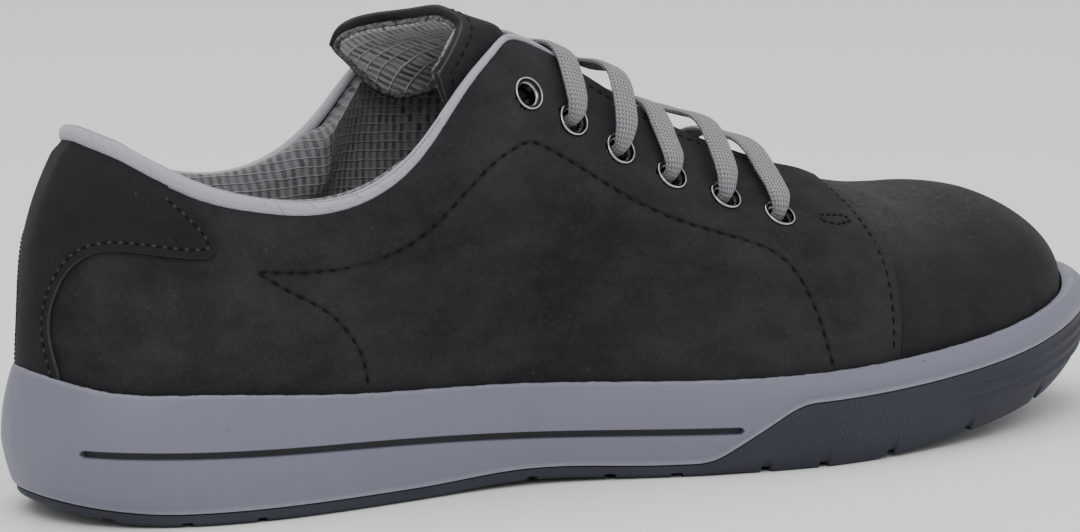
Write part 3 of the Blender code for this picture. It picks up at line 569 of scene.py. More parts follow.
def face_outwards(made: bmesh.types.BMesh, inside: Sequence[float]) -> bmesh.types.BMesh:
    """Make the faces consistent, and turn them away from a point inside."""
    bmesh.ops.recalc_face_normals(made, faces=made.faces)
    centre = Vector(inside)
    vote = sum(
        face.calc_area() * face.normal.dot((face.calc_center_median() - centre).normalized())
        for face in made.faces
    )
    if vote < 0:
        bmesh.ops.reverse_faces(made, faces=made.faces)
    return made


def closed(made: bmesh.types.BMesh) -> bmesh.types.BMesh:
    """Fill the open ends of a tube and turn its faces outwards."""
    bmesh.ops.holes_fill(made, edges=[edge for edge in made.edges if edge.is_boundary], sides=0)
    bmesh.ops.recalc_face_normals(made, faces=made.faces)
    return made


def around(line: Array, out: Array, up: Array, x: Array, z: Array) -> Array:
    """Return rings of points round a line, x of them along out and z along up."""
    return line[:, None] + out[:, None] * x[..., None] + up[:, None] * z[..., None]


def thicken(
    piece: bpy.types.Object, depth: float, bevel: float = 0.0, rim: bpy.types.Material | None = None
) -> None:
    """Give a sheet a wall inwards.

    Args:
        piece: The sheet.
        depth: Thickness of the wall.
        bevel: Width of the rounding at its rims; without one, the wall may thin at corners,
            which a sheet with a pole needs.
        rim: Finish of the cut edge, if it has one of its own.
    """
    wall = piece.modifiers.new("wall", "SOLIDIFY")
    wall.thickness = depth
    wall.offset = -1.0
    wall.use_even_offset = bevel > 0
    if rim is not None:
        piece.data.materials.append(rim)
        wall.material_offset_rim = 1
    if bevel:
        edge = piece.modifiers.new("edge", "BEVEL")
        edge.width = bevel
        edge.segments = 2
        edge.limit_method = "ANGLE"
        edge.angle_limit = math.radians(60)


# Shader expressions


def math_method(operation: str, swapped: bool = False) -> Callable[..., "Socket"]:
    """Make a method that adds one Math node.

    Args:
        operation: Blender's name of the node's operation.
        swapped: Whether the other value comes first.

    Returns:
        The method, which takes the other values and returns the node's output.
    """

    def method(self: "Socket", *others: Any) -> "Socket":
        """Add the Math node over this socket and the others."""
        inputs = (*others, self) if swapped else (self, *others)
        return self.tree.node("ShaderNodeMath", {"operation": operation}, dict(enumerate(inputs)))

    return method


class Socket:
    """A node's output that can be used in Python expressions."""

    def __init__(self, tree: "Tree", socket: bpy.types.NodeSocket) -> None:
        """Wrap an output socket of a tree."""
        self.tree = tree
        self.socket = socket

    __add__ = __radd__ = math_method("ADD")
    __sub__, __rsub__ = math_method("SUBTRACT"), math_method("SUBTRACT", swapped=True)
    __mul__ = __rmul__ = math_method("MULTIPLY")
    __truediv__, __pow__ = math_method("DIVIDE"), math_method("POWER")
    __lt__, __gt__ = math_method("LESS_THAN"), math_method("GREATER_THAN")
    __abs__, most = math_method("ABSOLUTE"), math_method("MAXIMUM")
    sin, fract, floor = math_method("SINE"), math_method("FRACT"), math_method("FLOOR")

    def clamp(self) -> "Socket":
        """Return the value held between 0 and 1."""
        return self.tree.node("ShaderNodeClamp", {}, {"Value": self})

    def wave(self, pitch: float) -> "Socket":
        """Return a sine wave that repeats after the pitch."""
        return (self * (2 * math.pi / pitch)).sin()

    def peak(self, width: float) -> "Socket":
        """Return 1 in the middle of each whole step, falling to 0 half the width away."""
        return (1.0 - abs(self.fract() - 0.5) / width).clamp()

    def step(self, low: float, high: float) -> "Socket":
        """Return a smooth step from 0 at low to 1 at high."""
        return self.tree.node(
            "ShaderNodeMapRange", {"interpolation_type": "SMOOTHSTEP"},
            {"Value": self, "From Min": low, "From Max": high, "To Min": 0.0, "To Max": 1.0},
        )


class Tree:
    """The node tree of one material."""

    def __init__(self, name: str) -> None:
        """Start a material with a Principled shader."""
        self.material = bpy.data.materials.new(name)
        self.material.use_nodes = True
        self.tree = self.material.node_tree
        self.shader = self.tree.nodes["Principled BSDF"]

    def node(self, kind: str, settings: dict[str, Any], inputs: dict[Any, Any], out: Any = 0) -> Socket:
        """Add a node.

        Args:
            kind: Blender's name of the node type.
            settings: Properties to set first.
            inputs: Values or sockets by input name or number.
            out: Name or number of the output.

        Returns:
            The output, ready for expressions.
        """
        made = self.tree.nodes.new(kind)
        for key, value in settings.items():
            setattr(made, key, value)
        for key, value in inputs.items():
            self.feed(made.inputs[key], value)
        return Socket(self, made.outputs[out])

    def feed(self, target: bpy.types.NodeSocket, value: Any) -> None:
        """Link or set one input."""
        if isinstance(value, Socket):
            self.tree.links.new(value.socket, target)
        elif isinstance(value, (tuple, list)) and len(value) == 3 and target.type == "RGBA":
            target.default_value = (*value, 1.0)
        else:
            target.default_value = value

    def place(self) -> Socket:
        """Return the object's own coordinates, in metres."""
        return self.node("ShaderNodeTexCoord", {}, {}, "Object")

    def uv(self) -> tuple[Socket, ...]:
        """Return the two parts of the piece's UV map, in metres."""
        return self.split(self.node("ShaderNodeUVMap", {}, {}))[:2]

    def split(self, vector: Socket) -> tuple[Socket, ...]:
        """Return the three parts of a vector."""
        made = self.node("ShaderNodeSeparateXYZ", {}, {"Vector": vector})
        return tuple(Socket(self, out) for out in made.socket.node.outputs)

    def mark(self, name: str) -> Socket:
        """Return a named number that the mesh carries."""
        return self.node("ShaderNodeAttribute", {"attribute_name": name}, {}, "Fac")

    def scaled(self, vector: Socket, scale: Sequence[float]) -> Socket:
        """Return a vector times a scale along each axis."""
        return self.node("ShaderNodeVectorMath", {"operation": "MULTIPLY"}, {0: vector, 1: tuple(scale)})

    def joined(self, x: Any, y: Any) -> Socket:
        """Return a flat vector of two parts."""
        return self.node("ShaderNodeCombineXYZ", {}, {0: x, 1: y})

    def noise(self, vector: Socket, scale: float, detail: float = 3.0, rough: float = 0.55) -> Socket:
        """Return a noise between about 0.2 and 0.8; scale counts features per metre."""
        inputs = {"Vector": vector, "Scale": scale, "Detail": detail, "Roughness": rough}
        return self.node("ShaderNodeTexNoise", {}, inputs)

    def cells(self, vector: Socket, scale: float) -> Socket:
        """Return the distance to the nearest of scattered points, scale per metre."""
        return self.node("ShaderNodeTexVoronoi", {}, {"Vector": vector, "Scale": scale}, "Distance")

    def mix(self, share: Any, first: Any, second: Any) -> Socket:
        """Return a colour between the first and the second."""
        made = self.tree.nodes.new("ShaderNodeMix")
        made.data_type = "RGBA"
        self.feed(made.inputs[0], share)
        self.feed(made.inputs[6], first)
        self.feed(made.inputs[7], second)
        return Socket(self, made.outputs[2])

    def height(self, value: Socket, distance: float, strength: float) -> Socket:
        """Return a normal bumped by a value whose unit is distance metres high."""
        inputs = {"Height": value, "Distance": distance, "Strength": strength}
        return self.node("ShaderNodeBump", {}, inputs)

    def done(self, **inputs: Any) -> bpy.types.Material:
        """Set the shader's inputs, whose names are written with underscores, and return the material."""
        for key, value in inputs.items():
            self.feed(self.shader.inputs[key.replace("_", " ")], value)
        return self.material


# Finishes

Colour = tuple[float, float, float]


def dimmed(colour: Colour, share: float) -> Colour:
    """Return a share of a colour's brightness."""
    return tuple(part * share for part in colour)


@dataclass(frozen=True)
class Finish:
    """A named material; each kind of finish says how it looks."""

    name: str

    def build(self) -> bpy.types.Material:
        """Return the material."""
        t = Tree(self.name)
        return t.done(**self.look(t, t.place()))

    def look(self, t: Tree, at: Socket) -> dict[str, Any]:
        """Return the shader's inputs, over a tree and the object's coordinates in metres."""
        raise NotImplementedError


@dataclass(frozen=True)
class Nubuck(Finish):
    """Near-black nubuck with a short matt nap, a little dust, pressed seams painted darker as shade, and,
    where asked, a painted highlight with scuffs on its top.
    """

    name: str = "nubuck"
    deep: Colour = (0.0118, 0.0117, 0.0137)
    worn: Colour = (0.0350, 0.0345, 0.0380)
    dust: Colour = (0.090, 0.089, 0.088)
    # Lighter colour for the top: painted highlight mixed with scuffs.
    highlight_and_scuff_colour: Colour = (0.046, 0.045, 0.048)
    top_highlight_and_scuff: float = 0.0
    highlight_and_scuff_heights: tuple[float, float] = (0.044, 0.064)
    seams: tuple[str, ...] = ()
    seam_width: float = 0.0011

    def look(self, t: Tree, at: Socket) -> dict[str, Any]:
        """Return the inputs; each seam named is a distance that the mesh carries."""
        cloud = t.noise(at, 22.0, 4.0, 0.6)
        patch = t.noise(t.scaled(at, (1.0, 1.0, 1.6)), 95.0, 5.0, 0.65)
        nap = t.noise(t.scaled(at, (1.0, 1.0, 0.55)), 1500.0, 3.0, 0.7)
        pore = t.cells(at, 1150.0)
        tone = (cloud - 0.5) * 1.6 + (patch - 0.5) + (nap - 0.5) * 0.9 + 0.42
        groove: Any = None
        for seam in self.seams:
            near = (1.0 - abs(t.mark(seam)) / self.seam_width).clamp() * t.mark(seam + "_on")
            groove = near if groove is None else groove.most(near)
        speck = (t.noise(at, 1350.0, 1.0, 0.4) > 0.745) * (t.noise(at, 60.0, 1.0) > 0.50)
        colour = t.mix(tone.clamp(), self.deep, self.worn)
        # Painted highlight with scuffs: the surface turns lighter above a height, in rubbed patches.
        if self.top_highlight_and_scuff:
            rubbed = (t.noise(at, 700.0, 3.0, 0.7) - 0.5) * 2.2 + patch * 0.5
            highlight_and_scuff_mask = t.split(at)[2].step(*self.highlight_and_scuff_heights) * (0.35 + rubbed)
            colour = t.mix(highlight_and_scuff_mask.clamp() * self.top_highlight_and_scuff, colour, self.highlight_and_scuff_colour)
        colour = t.mix(speck * 0.30, colour, self.dust)
        relief = nap * 0.55 + pore * 0.25 + patch * 0.9
        # Painted shade: the seam grooves are darkened in colour as well as sunk.
        if groove is not None:
            colour = t.mix(groove * 0.40, colour, dimmed(self.deep, 0.35))
            relief = relief - groove * groove * 2.0
        return dict(
            Base_Color=colour,
            Roughness=0.86 + (nap - 0.5) * 0.20 - (cloud - 0.5) * 0.10,
            Specular_IOR_Level=0.09,
            Sheen_Weight=0.04,
            Sheen_Roughness=0.5,
            Sheen_Tint=(0.75, 0.76, 0.80),
            Normal=t.height(relief, 0.00011, 0.85),
        )


@dataclass(frozen=True)
class CutEdge(Finish):
    """The bare edge of cut leather: felted fibres, lighter than the face."""

    name: str = "leather_edge"
    dark: Colour = (0.020, 0.020, 0.022)
    pale: Colour = (0.060, 0.060, 0.064)

    def look(self, t: Tree, at: Socket) -> dict[str, Any]:
        """Return the inputs."""
        fibre = t.noise(at, 2200.0, 4.0, 0.7)
        band = t.noise(at, 300.0, 2.0)
        return dict(
            Base_Color=t.mix((fibre * 0.7 + band * 0.5 - 0.2).clamp(), self.dark, self.pale),
            Roughness=0.85 + (fibre - 0.5) * 0.1,
            Normal=t.height(fibre, 0.00018, 0.9),
        )


@dataclass(frozen=True)
class SpacerMesh(Finish):
    """Grey lining: fine pale threads over rows of sunken windows, with foam behind; the windows are painted
    dark as shade.
    """

    name: str = "lining"
    window: Colour = (0.036, 0.037, 0.041)
    yarn: Colour = (0.190, 0.192, 0.204)
    thread: Colour = (0.270, 0.273, 0.286)
    column: float = 0.00265
    row: float = 0.00235
    twill: float = 0.00042
    knit: float = 0.00036

    def look(self, t: Tree, at: Socket) -> dict[str, Any]:
        """Return the inputs, laid out over the piece's UV map in metres."""
        u, v = t.uv()
        wobble = (t.noise(at, 160.0, 2.0) - 0.5) * 0.0007
        row = (v + wobble) / self.row
        line = (u + wobble) / self.column + (row.floor() / 2.0).fract() * 0.12
        ridge = 1.0 - row.peak(0.5).step(0.0, 0.24)
        window = (1.0 - abs(line.fract() - 0.5) * 3.4).step(-0.05, 0.45) * (1.0 - ridge)
        depth = window * (0.62 + (t.noise(t.joined(line.floor(), row.floor()), 3.1, 0.0) - 0.5) * 1.3)
        twill = (u + v * 0.6).wave(self.twill) * 0.5 + 0.5
        knit = v.wave(self.knit) * 0.5 + 0.5
        fuzz = t.noise(at, 1900.0, 2.0)
        colour = t.mix((fuzz * 0.5 + twill * 0.35).clamp(), dimmed(self.yarn, 0.72), self.yarn)
        # Painted shade: the windows darken as they sink.
        colour = t.mix(depth.clamp(), colour, self.window)
        colour = t.mix(ridge * 0.75, colour, self.thread)
        relief = ridge - depth * 1.1 + twill * 0.16 + knit * 0.10
        return dict(
            Base_Color=colour,
            Roughness=0.62 - ridge * 0.14,
            Sheen_Weight=0.22,
            Sheen_Roughness=0.45,
            Normal=t.height(relief, 0.00030, 0.85),
        )


@dataclass(frozen=True)
class BoundTape(Finish):
    """The light grey bias tape round the collar: a smooth weave with pulled creases."""

    name: str = "collar_tape"
    base: Colour = (0.360, 0.368, 0.400)
    shade: Colour = (0.190, 0.195, 0.220)
    weave: float = 0.00052
    thread: float = 0.00034
    stitch: float = 0.0011

    def look(self, t: Tree, at: Socket) -> dict[str, Any]:
        """Return the inputs, laid out along the tape's UV map."""
        u, v = t.uv()
        weave = (u + v).wave(self.weave) * (u - v).wave(self.weave)
        wobble = (t.noise(at, 420.0, 2.0) - 0.5) * 0.0016
        pull = (u - v * 0.85 + wobble) / 0.0031
        crease = pull.peak(0.12) * t.noise(t.joined(pull.floor(), 0.0), 5.3, 0.0).step(0.40, 0.62)
        crease = crease * t.noise(at, 300.0, 1.0).step(0.36, 0.56)
        sewn = (1.0 - abs(t.mark("sewn")) / self.thread).clamp() * t.mark("sewn_on")
        dots = (u.wave(self.stitch) * 0.5 + 0.5) * sewn
        soil = t.noise(at, 120.0, 3.0)
        colour = t.mix((soil - 0.35).clamp() * 0.55, self.base, dimmed(self.base, 0.80))
        colour = t.mix(crease * 0.30, colour, self.shade)
        colour = t.mix((dots * 0.8 + sewn * 0.25).clamp(), colour, dimmed(self.shade, 0.55))
        return dict(
            Base_Color=colour,
            Roughness=0.62 + (soil - 0.5) * 0.15,
            Sheen_Weight=0.15,
            Normal=t.height(weave * 0.18 - crease * 1.3 - sewn * 1.4, 0.00018, 0.9),
        )


@dataclass(frozen=True)
class Braid(Finish):
    """A flat braided lace: wales of small V-shaped stitches."""

    name: str = "lace_braid"
    pale: Colour = (0.315, 0.312, 0.335)
    deep: Colour = (0.060, 0.060, 0.068)
    wale: float = 0.00097
    stitch: float = 0.00112

    def look(self, t: Tree, at: Socket) -> dict[str, Any]:
        """Return the inputs, laid out along the lace's UV map."""
        u, v = t.uv()
        inside = abs((v / self.wale).fract() - 0.5)
        yarn = ((u / self.stitch + inside * 1.1).peak(0.5) * 1.35).clamp()
        valley = (inside * 2.0) ** 5.0
        pit = (1.0 - yarn).step(0.30, 0.95)
        fibre = t.noise(t.joined(u, v * 4.0), 2600.0, 2.0)
        tone = t.noise(at, 240.0, 2.0)
        shade = (pit * 0.80 + valley * 0.75).clamp()
        colour = t.mix(shade, self.pale, self.deep)
        worn = ((tone - 0.4) * 0.6 + (fibre - 0.5) * 0.5).clamp()
        colour = t.mix(worn, colour, dimmed(self.pale, 0.7))
        return dict(
            Base_Color=colour,
            Roughness=0.78 + (fibre - 0.5) * 0.15,
            Sheen_Weight=0.25,
            Normal=t.height(yarn - valley + fibre * 0.12, 0.00034, 1.0),
        )


@dataclass(frozen=True)
class PolishedMetal(Finish):
    """Bright nickel of the eyelets, duller in the recess, where it is painted dark as shade and a dark
    reflection.
    """

    name: str = "eyelet_metal"
    bright: Colour = (0.40, 0.40, 0.405)
    recess_shade: Colour = (0.022, 0.022, 0.024)

    def look(self, t: Tree, at: Socket) -> dict[str, Any]:
        """Return the inputs; the mesh carries how deep each point lies, which sets the painted shade."""
        smear = t.noise(at, 420.0, 3.0)
        scratch = t.noise(t.scaled(at, (1.0, 6.0, 1.0)), 900.0, 2.0)
        deep = t.mark("deep")
        # Painted shade and dark reflection: the throat and the barrel turn dark with depth.
        return dict(
            Base_Color=t.mix((deep + (smear - 0.55) * 0.3).clamp(), self.bright, self.recess_shade),
            Metallic=1.0,
            Roughness=0.13 + deep * 0.25 + (smear - 0.5) * 0.12,
            Normal=t.height(scratch, 0.00003, 0.5),
        )


@dataclass(frozen=True)
class MouldedFoam(Finish):
    """Blue-grey cup sole: satin moulded skin with pinholes and a groove painted dark as shade, a pale flash
    line, and a trimmed rim painted pale, partly as wear and partly as painted highlight.
    """

    name: str = "midsole_foam"
    base: Colour = (0.143, 0.148, 0.196)
    pale: Colour = (0.260, 0.268, 0.320)
    # Dark colour for painted shade in the pinholes and the groove.
    dark: Colour = (0.010, 0.011, 0.016)

    def look(self, t: Tree, at: Socket) -> dict[str, Any]:
        """Return the inputs; the mesh carries its rim, flash and groove."""
        cloud = t.noise(at, 30.0, 3.0)
        streak = t.noise(t.scaled(at, (1.0, 1.0, 0.16)), 260.0, 3.0, 0.6)
        skin = t.noise(at, 1700.0, 3.0, 0.6)
        hole = (1.0 - t.cells(at, 105.0) / 0.045).clamp() * (t.noise(at, 33.0, 0.0) > 0.57)
        rim, flash, groove = t.mark("rim"), t.mark("flash"), t.mark("groove")
        ragged = (t.noise(at, 520.0, 4.0, 0.7) - 0.42) * 2.2
        scuff = (t.noise(t.scaled(at, (0.5, 0.5, 2.2)), 75.0, 5.0, 0.72) - 0.60).clamp() * 1.6
        cast = ((cloud - 0.4) * 0.7 + (streak - 0.5) * 0.5).clamp()
        colour = t.mix(cast, self.base, dimmed(self.base, 0.86))
        # The rim's band is painted pale: partly wear, partly painted highlight on the top edge.
        colour = t.mix((rim * (0.40 + ragged * 0.6)).clamp() * 0.9, colour, self.pale)
        colour = t.mix((flash * (0.55 + ragged * 0.6)).clamp() * 0.9, colour, self.pale)
        colour = t.mix(scuff * 0.35, colour, self.pale)
        # Painted shade in the pinholes and the groove.
        colour = t.mix((hole * 0.9 + groove).clamp(), colour, self.dark)
        return dict(
            Base_Color=colour,
            Roughness=0.50 + (skin - 0.5) * 0.16 + rim * 0.14 + scuff * 0.2,
            Normal=t.height(skin * 0.5 + streak * 0.5 + ragged * rim * 0.9 - hole * 2.5, 0.00010, 0.6),
        )


@dataclass(frozen=True)
class MouldedRubber(Finish):
    """Dark blue rubber with rows of fine moulded ticks on the forefoot's wall, painted lighter as
    highlight, and painted shade in the tread's sipes.
    """

    name: str = "outsole_rubber"
    base: Colour = (0.0100, 0.0128, 0.0220)
    # Lighter colour for wear and scuffs, and for the painted highlight on the ticks and the tread.
    worn: Colour = (0.0260, 0.0315, 0.0480)
    tick_pitch: float = 0.00150
    row_pitch: float = 0.00178
    tread: bool = False

    def look(self, t: Tree, at: Socket) -> dict[str, Any]:
        """Return the inputs; ticks follow the wall's UV map, tread lines the object."""
        cloud = t.noise(at, 40.0, 4.0, 0.6)
        grain = t.noise(at, 1300.0, 3.0)
        scuff = (t.noise(t.scaled(at, (0.6, 0.6, 2.0)), 130.0, 5.0, 0.72) - 0.56).clamp() * 2.0
        if self.tread:
            x, y, _ = t.split(at)
            wave = y.wave(0.011) * 0.0016
            sipe = abs(((x + wave) / 0.0046).fract() - 0.5)
            relief = sipe.step(0.06, 0.14) * 3.2
            lit = sipe.step(0.06, 0.20) * 0.25
        else:
            u, v = t.uv()
            row = v / self.row_pitch
            shift = (row.floor() / 2.0).fract() * 0.9
            col = u / self.tick_pitch + shift + row.fract() * 0.35
            tick = col.peak(1 / 3.6) * (1.0 - abs(row.fract() - 0.5) * 2.5).step(0.0, 0.35)
            patchy = t.noise(at, 85.0, 2.0).step(0.42, 0.60) * 0.75 + 0.25
            tick = tick.step(0.05, 0.55) * t.mark("ticks") * patchy
            relief = tick * 4.0
            lit = tick * 0.55
        # The worn colour also serves the painted light: highlight on the ticks, shade in the sipes.
        colour = t.mix(((cloud - 0.38) * 0.9 + lit + scuff * 0.5).clamp(), self.base, self.worn)
        return dict(
            Base_Color=colour,
            Roughness=0.66 + (grain - 0.5) * 0.14 + scuff * 0.1,
            Normal=t.height(relief + grain * 0.4, 0.00010, 0.9),
        )


@dataclass(frozen=True)
class Thread(Finish):
    """Sewing thread, twisted from fine fibres."""

    name: str = "thread"
    lit: Colour = (0.0062, 0.0062, 0.0070)
    deep: Colour = (0.0020, 0.0020, 0.0024)
    twist: float = 0.00034

    def look(self, t: Tree, at: Socket) -> dict[str, Any]:
        """Return the inputs."""
        x, y, z = t.split(at)
        twist = (x + z * 0.8 + y * 0.5).wave(self.twist) * 0.5 + 0.5
        fuzz = t.noise(at, 3000.0, 2.0)
        return dict(
            Base_Color=t.mix((twist * 0.6 + fuzz * 0.4).clamp(), self.deep, self.lit),
            Roughness=0.72 + (fuzz - 0.5) * 0.2,
            Specular_IOR_Level=0.12,
            Normal=t.height(twist, 0.00006, 0.7),
        )


@dataclass(frozen=True)
class Selvage(Finish):
    """The loose, speckled knit along the edge of the tongue's padding."""

    name: str = "selvage"
    pale: Colour = (0.150, 0.152, 0.158)
    deep: Colour = (0.018, 0.018, 0.020)

    def look(self, t: Tree, at: Socket) -> dict[str, Any]:
        """Return the inputs."""
        loop = t.cells(at, 950.0)
        fuzz = t.noise(at, 1500.0, 3.0, 0.7)
        mottled = ((loop - 0.30) * 1.7 + (fuzz - 0.5) * 1.2).clamp()
        return dict(
            Base_Color=t.mix(mottled, self.pale, self.deep),
            Roughness=0.85 + (fuzz - 0.5) * 0.1,
            Normal=t.height(fuzz - loop, 0.00035, 1.0),
        )


@dataclass(frozen=True)
class StudioPaper(Finish):
    """The pale paper that the shoe stands on."""

    name: str = "studio_paper"
    white: Colour = (0.86, 0.865, 0.87)

    def look(self, t: Tree, at: Socket) -> dict[str, Any]:
        """Return the inputs."""
        tooth = t.noise(at, 400.0, 2.0)
        return dict(
            Base_Color=t.mix(tooth * 0.15, self.white, dimmed(self.white, 0.97)),
            Roughness=0.9 + (tooth - 0.5) * 0.05,
        )


# Sole


def sole_loop(shares: Array) -> tuple[Array, Array, Array]:
    """Return points, normals and shares once round the sole, the first column repeated."""
    outer, outer_normal = LAST.plan(Side.OUTER, shares)
    inner, inner_normal = LAST.plan(Side.INNER, shares)
    points = np.concatenate((outer, inner[-2::-1]))
    normals = np.concatenate((outer_normal, inner_normal[-2::-1]))
    return points, normals, np.concatenate((shares, shares[-2::-1]))


def sole_stations(count: int, anchors: Iterable[float] = ()) -> Array:
    """Return rising shares, close at heel and toe, with the anchors among them."""
    rule = (1 - np.cos(np.pi * np.arange(count + 1) / count)) / 2
    rule = 0.55 * rule + 0.45 * np.linspace(0, 1, count + 1)
    anchors = np.array(sorted(anchors))
    if len(anchors):
        gap = np.abs(rule[:, None] - anchors[None]).min(axis=1)
        rule = rule[(gap > 0.0009) | (rule == 0.0) | (rule == 1.0)]
    return np.unique(np.concatenate((rule, anchors)))


@dataclass
class Outsole:
    """The rubber outsole: a wall that climbs the side at the forefoot, and a slotted tread."""

    plate: float = 0.0022
    wall: float = 0.0030
    rib: float = 0.0006
    edge_round: float = 0.0020
    toe_draft: float = 0.0060
    heel_draft: float = 0.0030
    tread_depth: float = 0.0014
    slot: float = 0.0030
    border_groove: float = 0.0010
    clearance: float = 0.0003
    columns: int = 330
    rows: int = 40

    def draft(self, share: Array) -> Array:
        """Return how far the foot of the wall draws in at toe and heel."""
        toe = self.toe_draft * np.clip((share - 0.80) / 0.20, 0, 1) ** 2
        return toe + self.heel_draft * np.clip(1 - share / 0.06, 0, 1)

    def slot_depth(self, share: Array) -> Array:
        """Return how deep the tread is cut at a share of the length."""
        half = self.slot / 2 / LAST.sole_length
        deep = np.zeros_like(share)
        for place in HEEL_SLOTS + FORE_SLOTS:
            deep = np.maximum(deep, 1 - ramp(np.abs(share - place), half * 0.72, half * 1.05))
        return deep * self.tread_depth

    def stations(self) -> Array:
        """Return the shares, with the slots' edges among them."""
        half = self.slot / 2 / LAST.sole_length
        steps = (-1.05, -0.85, -0.7, 0.0, 0.7, 0.85, 1.05)
        edges = [place + step * half for place in HEEL_SLOTS + FORE_SLOTS for step in steps]
        return sole_stations(self.columns, edges + list(LAST.climb))

    def build(self) -> list[bpy.types.Object]:
        """Build the wall and the tread.

        Returns:
            The two pieces.
        """
        shares = self.stations()
        plan, normal, at = sole_loop(shares)
        low, top = LAST.ground(at), LAST.joint(at) - self.clearance / 2
        tuck = LAST.heel_tuck * LAST.heel_end(at)
        draft = self.draft(at)
        ridged = ramp(at, 0.74, 0.83)
        cut = self.slot_depth(at)
        base = self.rib + tuck
        levels = np.linspace(0, 1, self.rows)
        rows, heights = [], []
        for level in levels:
            rounding = np.clip(1 - level / 0.40, 0, 1) ** 2.3
            drawn = np.clip(1 - level / 0.78, 0, 1) ** 1.7
            ridges = sum(bump(level, middle, 0.075) for middle in (0.40, 0.60, 0.80))
            inset = rounding * self.edge_round + drawn * draft + base - self.rib * ridges * ridged
            lift = cut * (1 - ramp(level, 0.0, 0.55)) * np.where(top - low > 0.008, 1.0, 0.8)
            height = low + lift + (top - low - lift) * level
            rows.append(np.column_stack((plan - normal * inset[:, None], height)))
            heights.append(height)
        inside = plan - normal * (self.wall + base)[:, None]
        rows += [np.column_stack((inside, top)), np.column_stack((inside, low + self.plate))]
        points = np.array(rows) - LAST.middle
        height = np.array(heights + [top, top])
        along = arc_lengths(points, 1)[len(levels) // 2]
        uv = np.stack((np.broadcast_to(along, height.shape), height - top + 0.02), axis=-1)
        place = np.broadcast_to(at, height.shape)
        share_up = np.concatenate((levels, [1.0, 1.0]))[:, None]
        clear = ramp(share_up, 0.16, 0.26) * (1 - ramp(share_up, 0.90, 0.97))
        ticks = ramp(place, 0.585, 0.625) * (1 - ramp(place, 0.80, 0.87)) * clear
        made = face_outwards(net(points, uv, {"ticks": ticks}), (0.0, 0.0, 0.02))
        wall = finish_mesh("outsole_wall", made, MouldedRubber().build())
        return [wall, self._tread(shares)]

    def _tread(self, shares: Array) -> bpy.types.Object:
        """Build the underside between the feet of the wall."""
        inset = self.edge_round + self.draft(shares) + self.rib + LAST.heel_tuck * LAST.heel_end(shares)
        edges = []
        for side in Side:
            plan, normal = LAST.plan(side, shares)
            edges.append(plan - normal * inset[:, None])
        across = np.linspace(0, 1, 61)
        xy = edges[0][:, None] * (1 - across)[:, None] + edges[1][:, None] * across[:, None]
        height = LAST.ground(shares) + self.slot_depth(shares)
        width = np.linalg.norm(edges[1] - edges[0], axis=1)[:, None]
        border = np.minimum(across, 1 - across)[None] * width
        mid = ramp(border, 0.0105, 0.0112) * (1 - ramp(border, 0.0122, 0.0129))
        heel = ramp(shares, 0.03, 0.05) * (1 - ramp(shares, 0.27, 0.29))
        pads = heel + ramp(shares, 0.50, 0.52) * (1 - ramp(shares, 0.93, 0.95))
        z = height[:, None] + mid * pads[:, None] * self.border_groove
        points = np.concatenate((xy, z[..., None]), axis=-1) - LAST.middle
        made = face_outwards(net(points), (0.0, 0.0, 1.0))
        rubber = MouldedRubber("outsole_tread_rubber", tread=True).build()
        return finish_mesh("outsole_tread", made, rubber)


